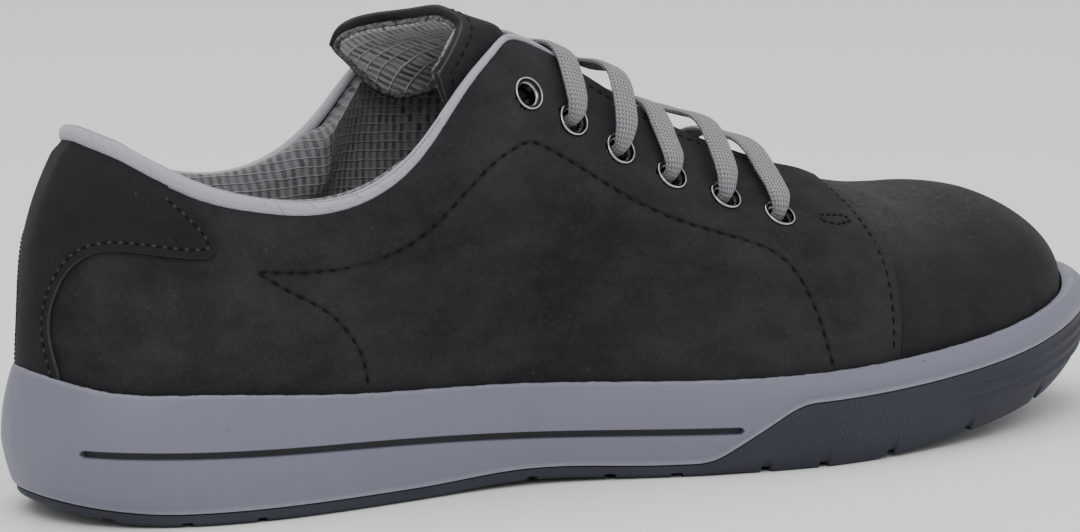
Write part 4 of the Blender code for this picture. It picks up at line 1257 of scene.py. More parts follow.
@dataclass
class Midsole:
    """The cup sole: a swelling wall with a groove on both sides, up to a trimmed rim."""

    groove_width: float = 0.0018
    groove_depth: float = 0.0021
    foot_fillet: float = 0.0014
    clearance: float = 0.0003
    columns: int = 330

    def build(self) -> bpy.types.Object:
        """Build the wall, the rim and the inside of the cup."""
        start, stop = GROOVE_LINE[0][0], GROOVE_LINE[-1][0]
        ends = [e + d for e in (start, stop) for d in (-0.003, -0.0015, 0.0, 0.0012, 0.0024, 0.0036)]
        shares = sole_stations(self.columns, ends + list(LAST.climb))
        plan, normal, at = sole_loop(shares)
        low, top = LAST.joint(at) + self.clearance / 2, LAST.rim(at)
        tuck = LAST.heel_tuck * LAST.heel_end(at)
        swell = LAST.heel_swell * LAST.heel_end(at)
        near = at <= stop + 0.004
        middle = np.where(near, LAST.groove(at), low + 0.40 * (top - low))
        end = np.minimum((at - start) / 0.0034, (stop - at) / 0.0034)
        cut = np.sqrt(np.clip(end, 0, 1))
        half = np.where(near, self.groove_width / 2, 0.05 * (top - low))
        deep = self.groove_depth * np.clip(end * 1.5, 0, 1)
        set_in = LAST.rim_set(at)
        rows: list[Array] = []
        marks: dict[str, list[Array]] = {"rim": [], "flash": [], "groove": []}

        def ring(height: Array, inset: Array, **mark: Any) -> None:
            """Add one row at a height, inset from the sole's widest line, with its marks."""
            rows.append(np.column_stack((plan - normal * inset[:, None], height)))
            for key, values in marks.items():
                values.append(np.broadcast_to(mark.get(key, 0.0), at.shape))

        def wall(
            height: Array, swelling: float, tucked: float = 0.0, depth: Any = 0.0, **mark: Any
        ) -> None:
            """Add one row of the outer wall, which draws in towards the rim."""
            share = (height - low) / (top - low)
            inset = set_in * np.clip((share - 0.40) / 0.60, 0, 1) ** 1.8
            ring(height, inset + tucked * (tuck + 0.0006) - swelling * swell + depth, **mark)

        ring(low, 0.0040 + tuck)
        wall(low, 0.0, 1.0, flash=1.0)
        wall(low + 0.0004, 0.05, 0.82, -0.00012, flash=1.0)
        wall(low + 0.0008, 0.12, 0.70, flash=0.4)
        wall(low + self.foot_fillet, 0.2, 0.55)
        body = middle - half
        for share in (0.25, 0.5, 0.75, 0.93):
            height = low + self.foot_fillet + (body - low - self.foot_fillet) * share
            wall(height, 0.2 + 0.8 * share, 0.55 * (1 - share) ** 2)
        lower, upper = middle - half * cut, middle + half * cut
        wall(lower - 0.00016, 1.0)
        wall(lower, 1.0, 0.0, 0.10 * deep)
        # The groove's floor carries the mark for painted shade.
        for share, groove in ((0.10, 0.8), (0.30, 1.0), (0.70, 1.0), (0.90, 1.0)):
            dark = groove * np.clip(end * 1.6, 0, 1)
            wall(lower + (upper - lower) * share, 1.0, 0.0, deep, groove=dark)
        wall(upper, 1.0, 0.0, 0.10 * deep)
        wall(upper + 0.00016, 1.0)
        for share in (0.08, 0.18, 0.30, 0.42, 0.54, 0.66, 0.76, 0.85, 0.92):
            swelling = np.interp(share, (0, 0.4, 0.72, 0.94, 1), (1.0, 0.85, 0.45, 0.08, 0.0))
            wall(upper + (top - upper) * share, swelling)
        wobble = 0.00010 * waves(at * 260.0, 3) + 0.00006 * waves(at * 900.0, 4)
        # The rim's rows carry the mark for its pale band, partly wear and partly painted highlight.
        for share, mark, inward in ((0.96, 0.35, 0.0), (0.985, 0.9, 0.00008), (1.0, 1.0, 0.00030)):
            wall(upper + (top - upper) * share + wobble * mark, 0.02, 0.0, inward, rim=mark)
        lip = LAST.lip(at)
        ring(top + 0.00005 + wobble, set_in + lip * 0.55, rim=1.0)
        ring(top - 0.00010 + wobble, set_in + lip, rim=0.6)
        ring(LAST.cup_floor(at), set_in + lip)
        points = np.array(rows) - LAST.middle
        kept = {key: np.array(values) for key, values in marks.items()}
        made = face_outwards(net(points, None, kept), (0.0, 0.0, 0.02))
        return finish_mesh("midsole_wall", made, MouldedFoam().build(), 40.0)


@dataclass
class Insole:
    """The thin cushioned sock on the floor of the cup."""

    edge: float = 0.0009
    thickness: float = 0.0040

    def build(self) -> bpy.types.Object:
        """Build the sock with a soft edge and a slight heel cup."""
        shares = sole_stations(90)
        plan, normal, at = sole_loop(shares)
        upper = LAST.cup_fit + LAST.vamp_wall + LAST.quarter_step
        reach = LAST.rim_set(at) + LAST.lip(at) + upper + self.edge
        floor = LAST.cup_floor(at) + 0.0003
        rows = []
        for inward, height in ((0.0, 0.0), (0.0, 0.5), (0.0002, 0.78), (0.0008, 0.94), (0.0018, 1.0)):
            line = plan - normal * (reach + inward)[:, None]
            rows.append(np.column_stack((line, floor + self.thickness * height)))
        spine = rows[-1].copy()
        spine[:, 1] = 0.0
        for step in (0.12, 0.30, 0.55, 0.80, 1.0):
            row = rows[4] * (1 - step) + spine * step
            row[:, 2] = floor + self.thickness - 0.0009 * np.sin(step * math.pi / 2) * (at < 0.3)
            rows.append(row)
        made = face_outwards(net(np.array(rows) - LAST.middle), (0.0, 0.0, 0.0))
        piece = finish_mesh("insole_sock", made, SpacerMesh("sock_lining").build())
        return piece


# Upper


def near_line(points: Array, normals: Array, line: Array, reach: float = 0.004) -> tuple[Array, Array]:
    """Measure a net against a line drawn on it.

    Args:
        points: The net's points.
        normals: Its normals.
        line: Points of the line, in order.
        reach: Distances are held to this.

    Returns:
        The signed distance of each point, and 1 where the point lies beside the line.
    """
    flat, lift = points.reshape(-1, 3), normals.reshape(-1, 3)
    start, step = line[:-1], np.diff(line, axis=0)
    size = (step ** 2).sum(axis=1)
    distance = np.full(len(flat), reach)
    beside = np.zeros(len(flat))
    low, high = line.min(axis=0) - reach, line.max(axis=0) + reach
    for index in np.nonzero(((flat > low) & (flat < high)).all(axis=1))[0]:
        p = flat[index]
        way = ((p - start) * step).sum(axis=1) / size
        foot = start + step * np.clip(way, 0, 1)[:, None]
        gap = np.linalg.norm(p - foot, axis=1)
        k = int(gap.argmin())
        if gap[k] < reach:
            sign = np.sign(np.dot(np.cross(step[k], p - start[k]), lift[index]) or 1.0)
            distance[index] = sign * gap[k]
            past = (k == 0 and way[k] < 0) or (k == len(start) - 1 and way[k] > 1)
            beside[index] = 0.0 if past or gap[k] > reach * 0.6 else 1.0
    return distance.reshape(points.shape[:2]), beside.reshape(points.shape[:2])


def smooth_table(table: Sequence[Sequence[float]], count: int) -> Array:
    """Return a smooth run of (share, rise) through a table, evenly spaced over the leather."""
    scale = np.array((LAST.sole_length, LAST.wall_run))
    return evened(np.array(table) * scale, count) / scale


def eyelet_centres(layer: int) -> list[Array]:
    """Return the eyelets' middles on the leather's outer face (layer 0) or inner face (1)."""
    return [LAST.layers(side, *np.array(place))[layer] for side in Side for place in EYELET_PLACES]


def leather_rise(count: int) -> Array:
    """Return ways up the wall, with two rows below the rim that tuck into the cup."""
    return np.concatenate(([-0.035, -0.018], np.linspace(0, 1, count)))


def counter_outline(side: Side, inward: float, lift: float) -> tuple[Array, Array]:
    """Return the heel counter's edge moved inwards, and the normals there.

    Args:
        side: Side of the foot.
        inward: Distance from the edge.
        lift: Height over the leather.
    """
    rise = np.linspace(COUNTER_EDGE[0][0], COUNTER_EDGE[-1][0], 320)
    share = table_curve(COUNTER_EDGE)(rise)
    edge, _, normal = LAST.layers(side, share, rise)
    back = LAST.skin(side, share * 0.8, rise) - edge
    into = unit(np.cross(normal, np.gradient(edge, axis=0)))
    into *= np.sign((into * back).sum(axis=1))[:, None]
    moved = edge + into * inward
    gap = np.linalg.norm(moved[:, None] - edge[None], axis=-1).min(axis=1)
    keep = gap > inward * 0.985
    return (moved + normal * lift)[keep], normal[keep]


@dataclass
class Upper:
    """The leather: both quarters round the heel, the vamp in front, and the heel counter."""

    thickness: float = 0.0014
    vamp_thickness: float = 0.0012
    counter_gap: float = 0.0004
    vamp_dip: float = 0.0012
    pole_cap: float = 0.0013
    crest_dip: float = 0.0009
    corner_lift: float = 0.0006
    end_drop: float = 0.0008
    counter_thickness: float = 0.0011
    hem_run: float = 0.09
    columns: int = 205
    rows: int = 84

    def undulation(self, side: Side, share: Array, rise: Array) -> Array:
        """Return the slight waviness of worn-in leather, in metres."""
        bend = waves(share * 30.0 + rise * 5.0, 11 + side.value) * waves(rise * 9.0 - share * 11.0, 21)
        crease = bump(share, 0.345, 0.05) * bump(rise, 0.80, 0.22) * np.sin(share * 190 + rise * 14)
        fade = ramp(rise, 0.02, 0.2) * (1 - ramp(rise, 0.80, 1.0)) * ramp(share, 0.03, 0.10)
        return fade * (0.00030 * bend + 0.00022 * crease)

    def build(self) -> list[bpy.types.Object]:
        """Build the leather pieces.

        Returns:
            Quarters, vamp and heel counter.
        """
        return [self._quarters(), self._vamp(), self._counter()]

    def _quarters(self) -> bpy.types.Object:
        """Build the two quarters as one sheet round the heel."""
        run = np.linspace(0, 1, self.columns)
        share = LAST.quarter_front * (0.75 * run + 0.25 * run ** 2)
        rise = leather_rise(self.rows)
        grid_s, grid_t = np.meshgrid(share, np.clip(rise, 0, 1), indexing="ij")
        corner = self.corner_lift * bump(grid_s, 0.697, 0.034) * ramp(grid_t, 0.75, 1.0)
        bent = ramp(grid_s, 0.722, LAST.quarter_front) * ramp(grid_t, 0.6, 0.9)
        corner = corner - self.end_drop * bent
        halves = []
        for side in Side:
            outer, _, normal = LAST.layers(side, grid_s, grid_t)
            outer = outer + normal * self.undulation(side, grid_s, grid_t)[..., None]
            outer[..., 2] += corner
            outer[:, :2, 2] += (rise[:2] * self.hem_run)[None]
            halves.append((outer, normal))
        points, normals = (np.concatenate((a[::-1], b[1:])) for a, b in zip(*halves))
        marks: dict[str, Array] = {}
        for key, table in (("panel_top", PANEL_TOP_LINE), ("panel_low", PANEL_LOW_LINE)):
            line = smooth_table(table, SEAM_POINTS).T
            (far, beside), (gap, on) = (near_line(points, normals, LAST.skin(side, *line)) for side in Side)
            closer = np.abs(gap) < np.abs(far)
            marks[key], marks[key + "_on"] = np.where(closer, gap, far), np.where(closer, on, beside)
        holes = np.zeros(points.shape[:2], bool)
        for centre in eyelet_centres(0):
            holes |= np.linalg.norm(points - centre, axis=-1) < EYELET_HOLE
        made = face_outwards(net(points, None, marks, skip=holes), (0.0, 0.0, 0.05))
        nubuck = Nubuck("quarter_nubuck", seams=("panel_top", "panel_low")).build()
        piece = finish_mesh("quarters", made, nubuck)
        thicken(piece, self.thickness, 0.0004, CutEdge().build())
        return piece

    def _vamp(self) -> bpy.types.Object:
        """Build the vamp and toe, which tuck under the quarters."""
        under = np.linspace(0.7120, LAST.quarter_front, 7)
        front = LAST.vamp_start + (1 - LAST.vamp_start) * np.sin(np.linspace(0, 1, 120) * np.pi / 2)
        anchors = [LAST.ridge_start, 0.7332, 0.7360, 0.7400, 0.7460, 0.7530]
        front = np.unique(np.concatenate((front, anchors)))
        rise = leather_rise(76)
        sheets = []
        for side in Side:
            grid_s, grid_t = np.meshgrid(under, np.clip(rise, 0, 1), indexing="ij")
            back = LAST.skin(side, grid_s, grid_t, np.full(grid_s.shape, -self.thickness - 0.0001))
            back[..., 2] -= self.vamp_dip * ramp(grid_t, 0.55, 0.95)
            grid_s, grid_t = np.meshgrid(front, np.clip(rise, 0, 1), indexing="ij")
            ahead = LAST.skin(side, grid_s, grid_t)
            place = ahead[..., 0] + LAST.middle[0]
            ahead[..., 2] -= self.vamp_dip * ramp(grid_t, 0.55, 0.95) * (1 - ramp(place, 0.234, 0.262))
            ahead[..., 2] -= self.crest_dip * bump(place, 0.2510, 0.024) * ramp(ahead[..., 2], 0.030, 0.055)
            sheet = np.concatenate((back, ahead))
            sheet[:, :2, 2] += (rise[:2] * self.hem_run)[None]
            sheets.append(sheet)
        points = np.concatenate((sheets[0], sheets[1][-2::-1]))
        made = net(points)
        pole = Vector(sheets[0][-1, -1])
        cap = [vert for vert in made.verts if (vert.co - pole).length < self.pole_cap]
        bmesh.ops.pointmerge(made, verts=cap, merge_co=pole)
        bmesh.ops.dissolve_degenerate(made, edges=made.edges, dist=1e-6)
        face_outwards(made, (0.08, 0.0, 0.02))
        # The toe's top takes the painted highlight with scuffs.
        nubuck = Nubuck("toe_nubuck", worn=(0.0275, 0.0270, 0.0300), top_highlight_and_scuff=0.95).build()
        piece = finish_mesh("vamp", made, nubuck)
        thicken(piece, self.vamp_thickness)
        return piece

    def _counter(self) -> bpy.types.Object:
        """Build the raised patch round the heel."""
        rise = np.linspace(-0.02, 0.998, 100)
        run = np.linspace(0, 1, 64) ** 1.25
        lift = self.counter_gap + self.counter_thickness
        sheets = []
        for side in Side:
            grid_s = table_curve(COUNTER_EDGE)(rise)[:, None] * run[None]
            grid_t = np.broadcast_to(np.clip(rise, 0, 1)[:, None], grid_s.shape)
            sheet = LAST.skin(side, grid_s, grid_t, lift * (1 - 0.62 * ramp(grid_t, 0.93, 1.0)))
            sheet[rise < 0, :, 2] += (rise[rise < 0] * 0.10)[:, None]
            sheets.append(sheet)
        points = np.concatenate((sheets[0][:, ::-1], sheets[1][:, 1:]), axis=1)
        made = face_outwards(net(points), (0.0, 0.003, 0.05))
        nubuck = Nubuck("counter_nubuck", worn=(0.0220, 0.0215, 0.0240)).build()
        piece = finish_mesh("heel_patch", made, nubuck)
        thicken(piece, self.counter_thickness, 0.00045, bpy.data.materials["leather_edge"])
        return piece


@dataclass
class Collar:
    """The padded lining and the light grey tape that binds the collar's edge."""

    roll: float = 0.0043
    puff: float = 0.0044
    tape_radius: float = 0.0017
    tape_end: float = 0.455
    columns: int = 190

    def build(self) -> list[bpy.types.Object]:
        """Build the lining and the tape.

        Returns:
            The two pieces.
        """
        return [self._lining(), self._tape()]

    def _lining(self) -> bpy.types.Object:
        """Build the lining: over the roll at the top edge, down the padding, to the insole."""
        run = np.linspace(0, 1, self.columns)
        share = LAST.quarter_front * (0.7 * run + 0.3 * run ** 2)
        rise = np.linspace(1.0, 0.0, 58)
        sheets = []
        for side in Side:
            top_outer, top_inner, _ = LAST.layers(side, share, np.ones(len(share)))
            roll = self.roll * (1 - ramp(share, 0.29, 0.325)) * (0.45 + 0.55 * ramp(share, 0.0, 0.10))
            rows = []
            for across, height in ROLL_PROFILE:
                row = top_outer + (top_inner - top_outer) * across
                row[:, 2] += roll * height
                rows.append(row)
            grid_s, grid_t = np.meshgrid(share, rise, indexing="ij")
            _, inner, normal = LAST.layers(side, grid_s, grid_t)
            heel = 0.25 + 0.75 * ramp(grid_s, 0.02, 0.12)
            pads = 1 - ramp(grid_s, 0.303, 0.324)
            puff = self.puff * bump(grid_t, 0.80, 0.30) * pads * heel
            fold = 0.0012 * bump(grid_t, 0.50, 0.035) * pads * heel
            ripple = 0.00022 * waves(grid_s * 46 + grid_t * 7, 31)
            ripple = ripple * ramp(grid_t, 0.3, 0.6) * (1 - ramp(grid_t, 0.9, 1))
            inner = inner - normal * (puff - fold + ripple)[..., None]
            sheets.append(np.concatenate((np.stack(rows, axis=1), inner), axis=1))
        points = np.concatenate((sheets[0][::-1], sheets[1][1:]))
        middle = points.shape[1] // 4
        along = arc_lengths(points, 0)[:, middle]
        down = arc_lengths(points, 1)
        up = down[:, -1:] - down
        uv = np.stack((np.broadcast_to(along[:, None], up.shape), up), axis=-1)
        made = net(points, uv)
        centres = [Vector(centre) for centre in eyelet_centres(1)]
        holes = [vert for vert in made.verts if any((vert.co - c).length < EYELET_HOLE for c in centres)]
        bmesh.ops.delete(made, geom=holes, context="VERTS")
        face_outwards(made, (-0.03, 0.003, 0.06))
        bmesh.ops.reverse_faces(made, faces=made.faces)
        piece = finish_mesh("collar_lining", made, SpacerMesh("collar_mesh").build(), 70.0)
        return piece

    def _tape(self) -> bpy.types.Object:
        """Build the tape as a rolled binding, taller round the heel, with a sewn line."""
        run = np.linspace(0, 1, 330)
        share = self.tape_end * (0.62 * run + 0.38 * run ** 2)
        halves = []
        for side in Side:
            outer, inner, _ = LAST.layers(side, share, np.ones(len(share)))
            across = inner - outer
            across[:, 2] = 0.0
            across = unit(across)
            along = np.gradient(outer, axis=0)
            along[0] = (0.0, side.value, 0.0)
            up = unit(np.cross(along, across) * -side.value)
            up *= np.sign(up[:, 2:3])
            wide, tall, proud, sunk = (np.interp(share, TAPE_ROWS[0], row) / 1000 for row in TAPE_ROWS[1:])
            centre = outer + across * (wide - proud)[:, None] + up * (tall - sunk)[:, None]
            halves.append((centre, across, up, wide, tall))
        centre, across, up, wide, tall = (np.concatenate((a[::-1], b[1:])) for a, b in zip(*halves))
        centre, across, up = softened(centre, 3), unit(softened(across, 8)), unit(softened(up, 8))
        along = arc_lengths(centre, 0)
        middle = along[-1] / 2
        grid_u, grid_a = np.meshgrid(along, np.linspace(0, 2 * math.pi, 37), indexing="ij")
        swell = 0.030 * waves(grid_u * 240 + np.sin(grid_a), 8)
        swell = 1 + swell + 0.014 * waves(grid_u * 900 - np.cos(grid_a) * 2, 9)
        x, z = np.cos(grid_a) * wide[:, None] * swell, np.sin(grid_a) * tall[:, None] * swell
        points = around(centre, -across, up, x, z)
        uv = np.stack((grid_u, grid_a * self.tape_radius), axis=-1)
        seam_at = 0.62 + 0.75 * np.cos((along - middle) / 0.075)
        sewn = np.clip((grid_a - seam_at[:, None]) * tall[:, None], -0.003, 0.003)
        sewn_on = np.broadcast_to((np.abs(along - middle) < 0.110)[:, None].astype(float), sewn.shape)
        made = closed(net(points, uv, {"sewn": sewn, "sewn_on": sewn_on}))
        return finish_mesh("collar_binding", made, BoundTape().build(), 60.0)


@dataclass
class Tongue:
    """The tongue: folded nubuck outside, padded mesh inside, and a knitted edge between them."""

    leather: float = 0.0012
    depth: float = 0.0048
    tuck: float = 0.84
    crown: float = 0.16
    gap: float = 0.0005
    rows: int = 120
    columns: int = 89

    def face(self) -> tuple[Array, Array, Array]:
        """Return the outer face, its normals and the padding's depth at each point."""
        across = np.linspace(-1, 1, 9)
        bend = np.abs(across)
        rows = [evened(np.array(row) / 1000, self.columns) for row in TONGUE_FREE]
        for share in TONGUE_STATIONS:
            sides = []
            for side in Side:
                rise = np.array((self.tuck, (1 + self.tuck) / 2, 1.0))
                _, inner, normal = LAST.layers(side, np.full(3, share), rise)
                sides.append(inner - normal * self.gap)
            left, right = sides
            half = (right[2] - left[2])[1] / 2
            middle = (left[2] + right[2]) / 2 + np.array((0.0, 0.0, self.crown * half))
            raised = np.array((0, 0, 0.25 * self.crown * half))
            near, far = ((middle + edge[2]) / 2 + raised for edge in sides)
            rows.append(evened(np.array([*left, near, middle, far, *right[::-1]]), self.columns))
        for centre_x, centre_z, half, edge_x, edge_z in TONGUE_FOOT:
            x = (centre_x + (edge_x - centre_x) * bend ** 2) * LAST.sole_length
            z = (centre_z + (edge_z - centre_z) * bend ** 2.2) * LAST.facing_height
            row = np.column_stack((x, half * LAST.sole_width * across, z)) - LAST.middle
            rows.append(evened(row, self.columns))
        coarse = np.array(rows)
        down = arc_lengths(coarse, 0)[:, self.columns // 2]
        fine = down[-1] * np.linspace(0, 1, self.rows)
        sheet = cubic(down, coarse)(fine)
        along, sideways = np.gradient(sheet, axis=0), np.gradient(sheet, axis=1)
        normal = unit(np.cross(along, sideways))
        normal *= np.sign(normal[self.rows // 2, self.columns // 2, 2])
        level = np.interp(fine, down, np.arange(len(rows)))
        deep = np.interp(level, (0, 4, len(rows) - 1), (1.0, 1.0, 0.45))
        edge = 1 - 0.35 * np.abs(np.linspace(-1, 1, self.columns)) ** 4
        return sheet, normal, self.depth * deep[:, None] * edge

    def build(self) -> list[bpy.types.Object]:
        """Build the leather with its folded edge, the padded lining and the knitted edge.

        Returns:
            Leather, fold, lining, knitted edge and stitches.
        """
        sheet, normal, deep = self.face()
        made = face_outwards(net(sheet), (0.0, 0.0, -1.0))
        nubuck = Nubuck("tongue_nubuck").build()
        leather = finish_mesh("tongue_leather", made, nubuck)
        thicken(leather, self.leather, 0.0004, bpy.data.materials["leather_edge"])
        fold = self._band(11, sheet, normal, 0.00135, 0.0013, (0.00150, 0.00132), 0.04, 0.80)
        fold = finish_mesh("tongue_fold", fold, nubuck, 70.0)
        knit = self._band(14, sheet, normal, 0.00315, 0.0015, (0.00085, 0.00080), 0.16, 0.70)
        knit = finish_mesh("tongue_selvage", knit, Selvage("selvage").build(), 70.0)
        sewn = bmesh.new()
        inset = sheet + self._inward(sheet) * 0.0034 + normal * 0.00005
        path = self._free_edge(sheet, 0.45)
        line = evened(softened(np.array([inset[k] for k in path]), 3)[::3], 300)
        lifts = np.array([normal[k] for k in path])[::3]
        lifts = between(np.linspace(0, len(lifts) - 1, 300), np.arange(len(lifts)), lifts)
        Stitching().row(sewn, line, lifts, 0.0031, 0.0021)
        seam = finish_mesh("tongue_stitches", sewn, Thread("tongue_thread").build(), 80.0)
        return [leather, fold, self._pad(sheet, normal, deep), knit, seam]

    def _free_edge(self, sheet: Array, reach: float) -> list[tuple[int, int]]:
        """Return the corners of the net along both sides and the top, down to a share of its length."""
        last, side = int(sheet.shape[0] * reach), sheet.shape[1] - 1
        path = [(i, 0) for i in range(last, 0, -1)] + [(0, j) for j in range(side + 1)]
        return path + [(i, side) for i in range(1, last)]

    def _pad(self, sheet: Array, normal: Array, deep: Array) -> bpy.types.Object:
        """Build the padding as a crowned closed form under the leather."""
        rows, columns = sheet.shape[:2]
        u = np.linspace(0, 1, rows)[:, None]
        v = np.linspace(-1, 1, columns)[None]
        rim = np.clip(np.minimum((1 - np.abs(v)) / 0.14, u / 0.05), 0, 1)
        crown = np.sqrt(1 - (1 - rim) ** 2)
        inward = self._inward(sheet) * 0.0012 * ((np.abs(v) > 0.96) | (u < 0.008))[..., None]
        top = sheet - normal * (self.leather * 1.02) + inward
        quilt = 0.00045 * waves(u * 34 + v * 2.0, 41) * crown
        thick = np.maximum(deep - self.leather, 0.0006) * (0.58 + 0.42 * crown) + quilt
        low = top - normal * thick[..., None]
        cap = (top[:1] + low[:1]) / 2
        low = np.concatenate((cap, low))
        top = np.concatenate((cap, top))
        points = np.concatenate((top, low[:, ::-1], top[:, :1]), axis=1)
        along = arc_lengths(low, 0)[:, columns // 2]
        side = arc_lengths(low, 1)
        side = side - side[:, columns // 2:columns // 2 + 1]
        flat = np.stack((side, np.broadcast_to(along[:, None], side.shape)), axis=-1)
        uv = np.concatenate((flat, flat[:, ::-1], flat[:, :1]), axis=1)
        made = net(points, uv)
        bmesh.ops.recalc_face_normals(made, faces=made.faces)
        # Painted light: the tongue's lining takes far paler tones than the collar's mesh, though it faces
        # down, away from the lamps.
        painted_light_tones = ((0.052, 0.053, 0.058), (0.500, 0.505, 0.525), (0.450, 0.455, 0.475))
        mesh = SpacerMesh("tongue_mesh", *painted_light_tones, column=0.00195, row=0.0027)
        piece = finish_mesh("tongue_lining", made, mesh.build(), 75.0)
        return piece

    def _inward(self, sheet: Array) -> Array:
        """Return the way from the nearest free edge into the tongue, for each point."""
        along, sideways = unit(np.gradient(sheet, axis=0)), unit(np.gradient(sheet, axis=1))
        v = np.linspace(-1, 1, sheet.shape[1])[None, :, None]
        u = np.linspace(0, 1, sheet.shape[0])[:, None, None]
        return unit(along * np.clip(1 - u * 12, 0, 1) - sideways * np.sign(v) * np.abs(v) ** 9)

    def _band(
        self, seed: int, sheet: Array, normal: Array, below: float, inward: float,
        radii: tuple[float, float], rough: float, reach: float,
    ) -> bmesh.types.BMesh:
        """Return a rolled band that follows the free edges, under the leather.

        Args:
            seed: Seed of its uneven surface.
            sheet: The tongue's outer face.
            normal: Its normals.
            below: Depth of the band's middle under the face.
            inward: Distance of the band's middle from the edge.
            radii: Half its width and half its height.
            rough: How uneven it is.
            reach: Share of the tongue's length that it runs down.
        """
        index = self._free_edge(sheet, reach)
        into = self._inward(sheet)
        place = np.array([sheet[k] - normal[k] * below + into[k] * inward for k in index])
        line = evened(softened(place, 4)[::2], 420)
        lift = softened(np.array([normal[k] for k in index]), 6)
        at = np.linspace(0, len(index) - 1, len(line))
        way = unit(np.gradient(line, axis=0))
        out = unit(np.cross(way, unit(between(at, np.arange(len(index)), lift))))
        grid_u, grid_a = np.meshgrid(arc_lengths(line, 0), np.linspace(0, 2 * math.pi, 19), indexing="ij")
        size = 1 + rough * waves(grid_u * 1100 + np.sin(grid_a) * 3, seed)
        x, z = np.cos(grid_a) * radii[0] * size, np.sin(grid_a) * radii[1] * size
        points = around(line, out, np.cross(out, way), x, z)
        return closed(net(points, np.stack((grid_u, grid_a * radii[0]), axis=-1)))


# Metal, laces, thread


@dataclass
class Eyelets:
    """Bright eyelets with a rolled rim, a sloping throat and a short barrel."""

    steps: int = 48
    # Each row: radius, height, and how much painted shade the metal takes there.
    profile: tuple[tuple[float, float, float], ...] = (
        (0.00430, -0.00030, 0.9), (0.00437, 0.00006, 0.5), (0.00435, 0.00034, 0.0),
        (0.00423, 0.00054, 0.0), (0.00404, 0.00060, 0.0), (0.00388, 0.00050, 0.4),
        (0.00378, 0.00028, 1.0), (0.00362, -0.00004, 1.0), (0.00346, -0.00030, 1.0),
        (0.00326, -0.00042, 0.9), (0.00306, -0.00052, 0.1), (0.00288, -0.00078, 0.0),
        (0.00277, -0.00130, 0.0), (0.00272, -0.00215, 0.2), (0.00272, -0.00320, 1.0),
        (0.00310, -0.00380, 1.0), (0.00360, -0.00400, 0.8),
    )

    def build(self) -> list[bpy.types.Object]:
        """Build the twelve eyelets.

        Returns:
            One piece for each eyelet.
        """
        metal = PolishedMetal().build()
        pieces = []
        for side in Side:
            for number, (share, rise) in enumerate(EYELET_PLACES, 1):
                near = np.array((share - 0.004, share, share + 0.004))
                outer, _, normal = LAST.layers(side, near, np.full(3, rise))
                z = Vector(normal[1]).normalized()
                x = Vector(outer[2] - outer[0])
                x = (x - z * x.dot(z)).normalized()
                place = Matrix((x, z.cross(x), z)).transposed().to_4x4()
                place.translation = Vector(outer[1])
                made = bmesh.new()
                deep = made.verts.layers.float.new("deep")
                verts = []
                for radius, height, depth in self.profile:
                    vert = made.verts.new((radius, 0.0, height))
                    vert[deep] = depth
                    verts.append(vert)
                edges = [made.edges.new(pair) for pair in zip(verts, verts[1:])]
                bmesh.ops.spin(
                    made, geom=verts + edges, cent=(0, 0, 0), axis=(0, 0, 1), angle=2 * math.pi,
                    steps=self.steps, use_merge=True)
                bmesh.ops.remove_doubles(made, verts=made.verts, dist=1e-6)
                bmesh.ops.recalc_face_normals(made, faces=made.faces)
                top = max(made.faces, key=lambda f: f.calc_center_median().z)
                if top.normal.z < 0:
                    bmesh.ops.reverse_faces(made, faces=made.faces)
                bmesh.ops.transform(made, matrix=place, verts=made.verts)
                name = f"eyelet_{side.name.lower()}_{number}_dressed"
                piece = finish_mesh(name, made, metal, 60.0)
                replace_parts(piece, f"eyelet_{side.name.lower()}_{number}")
                pieces.append(piece)
        return pieces


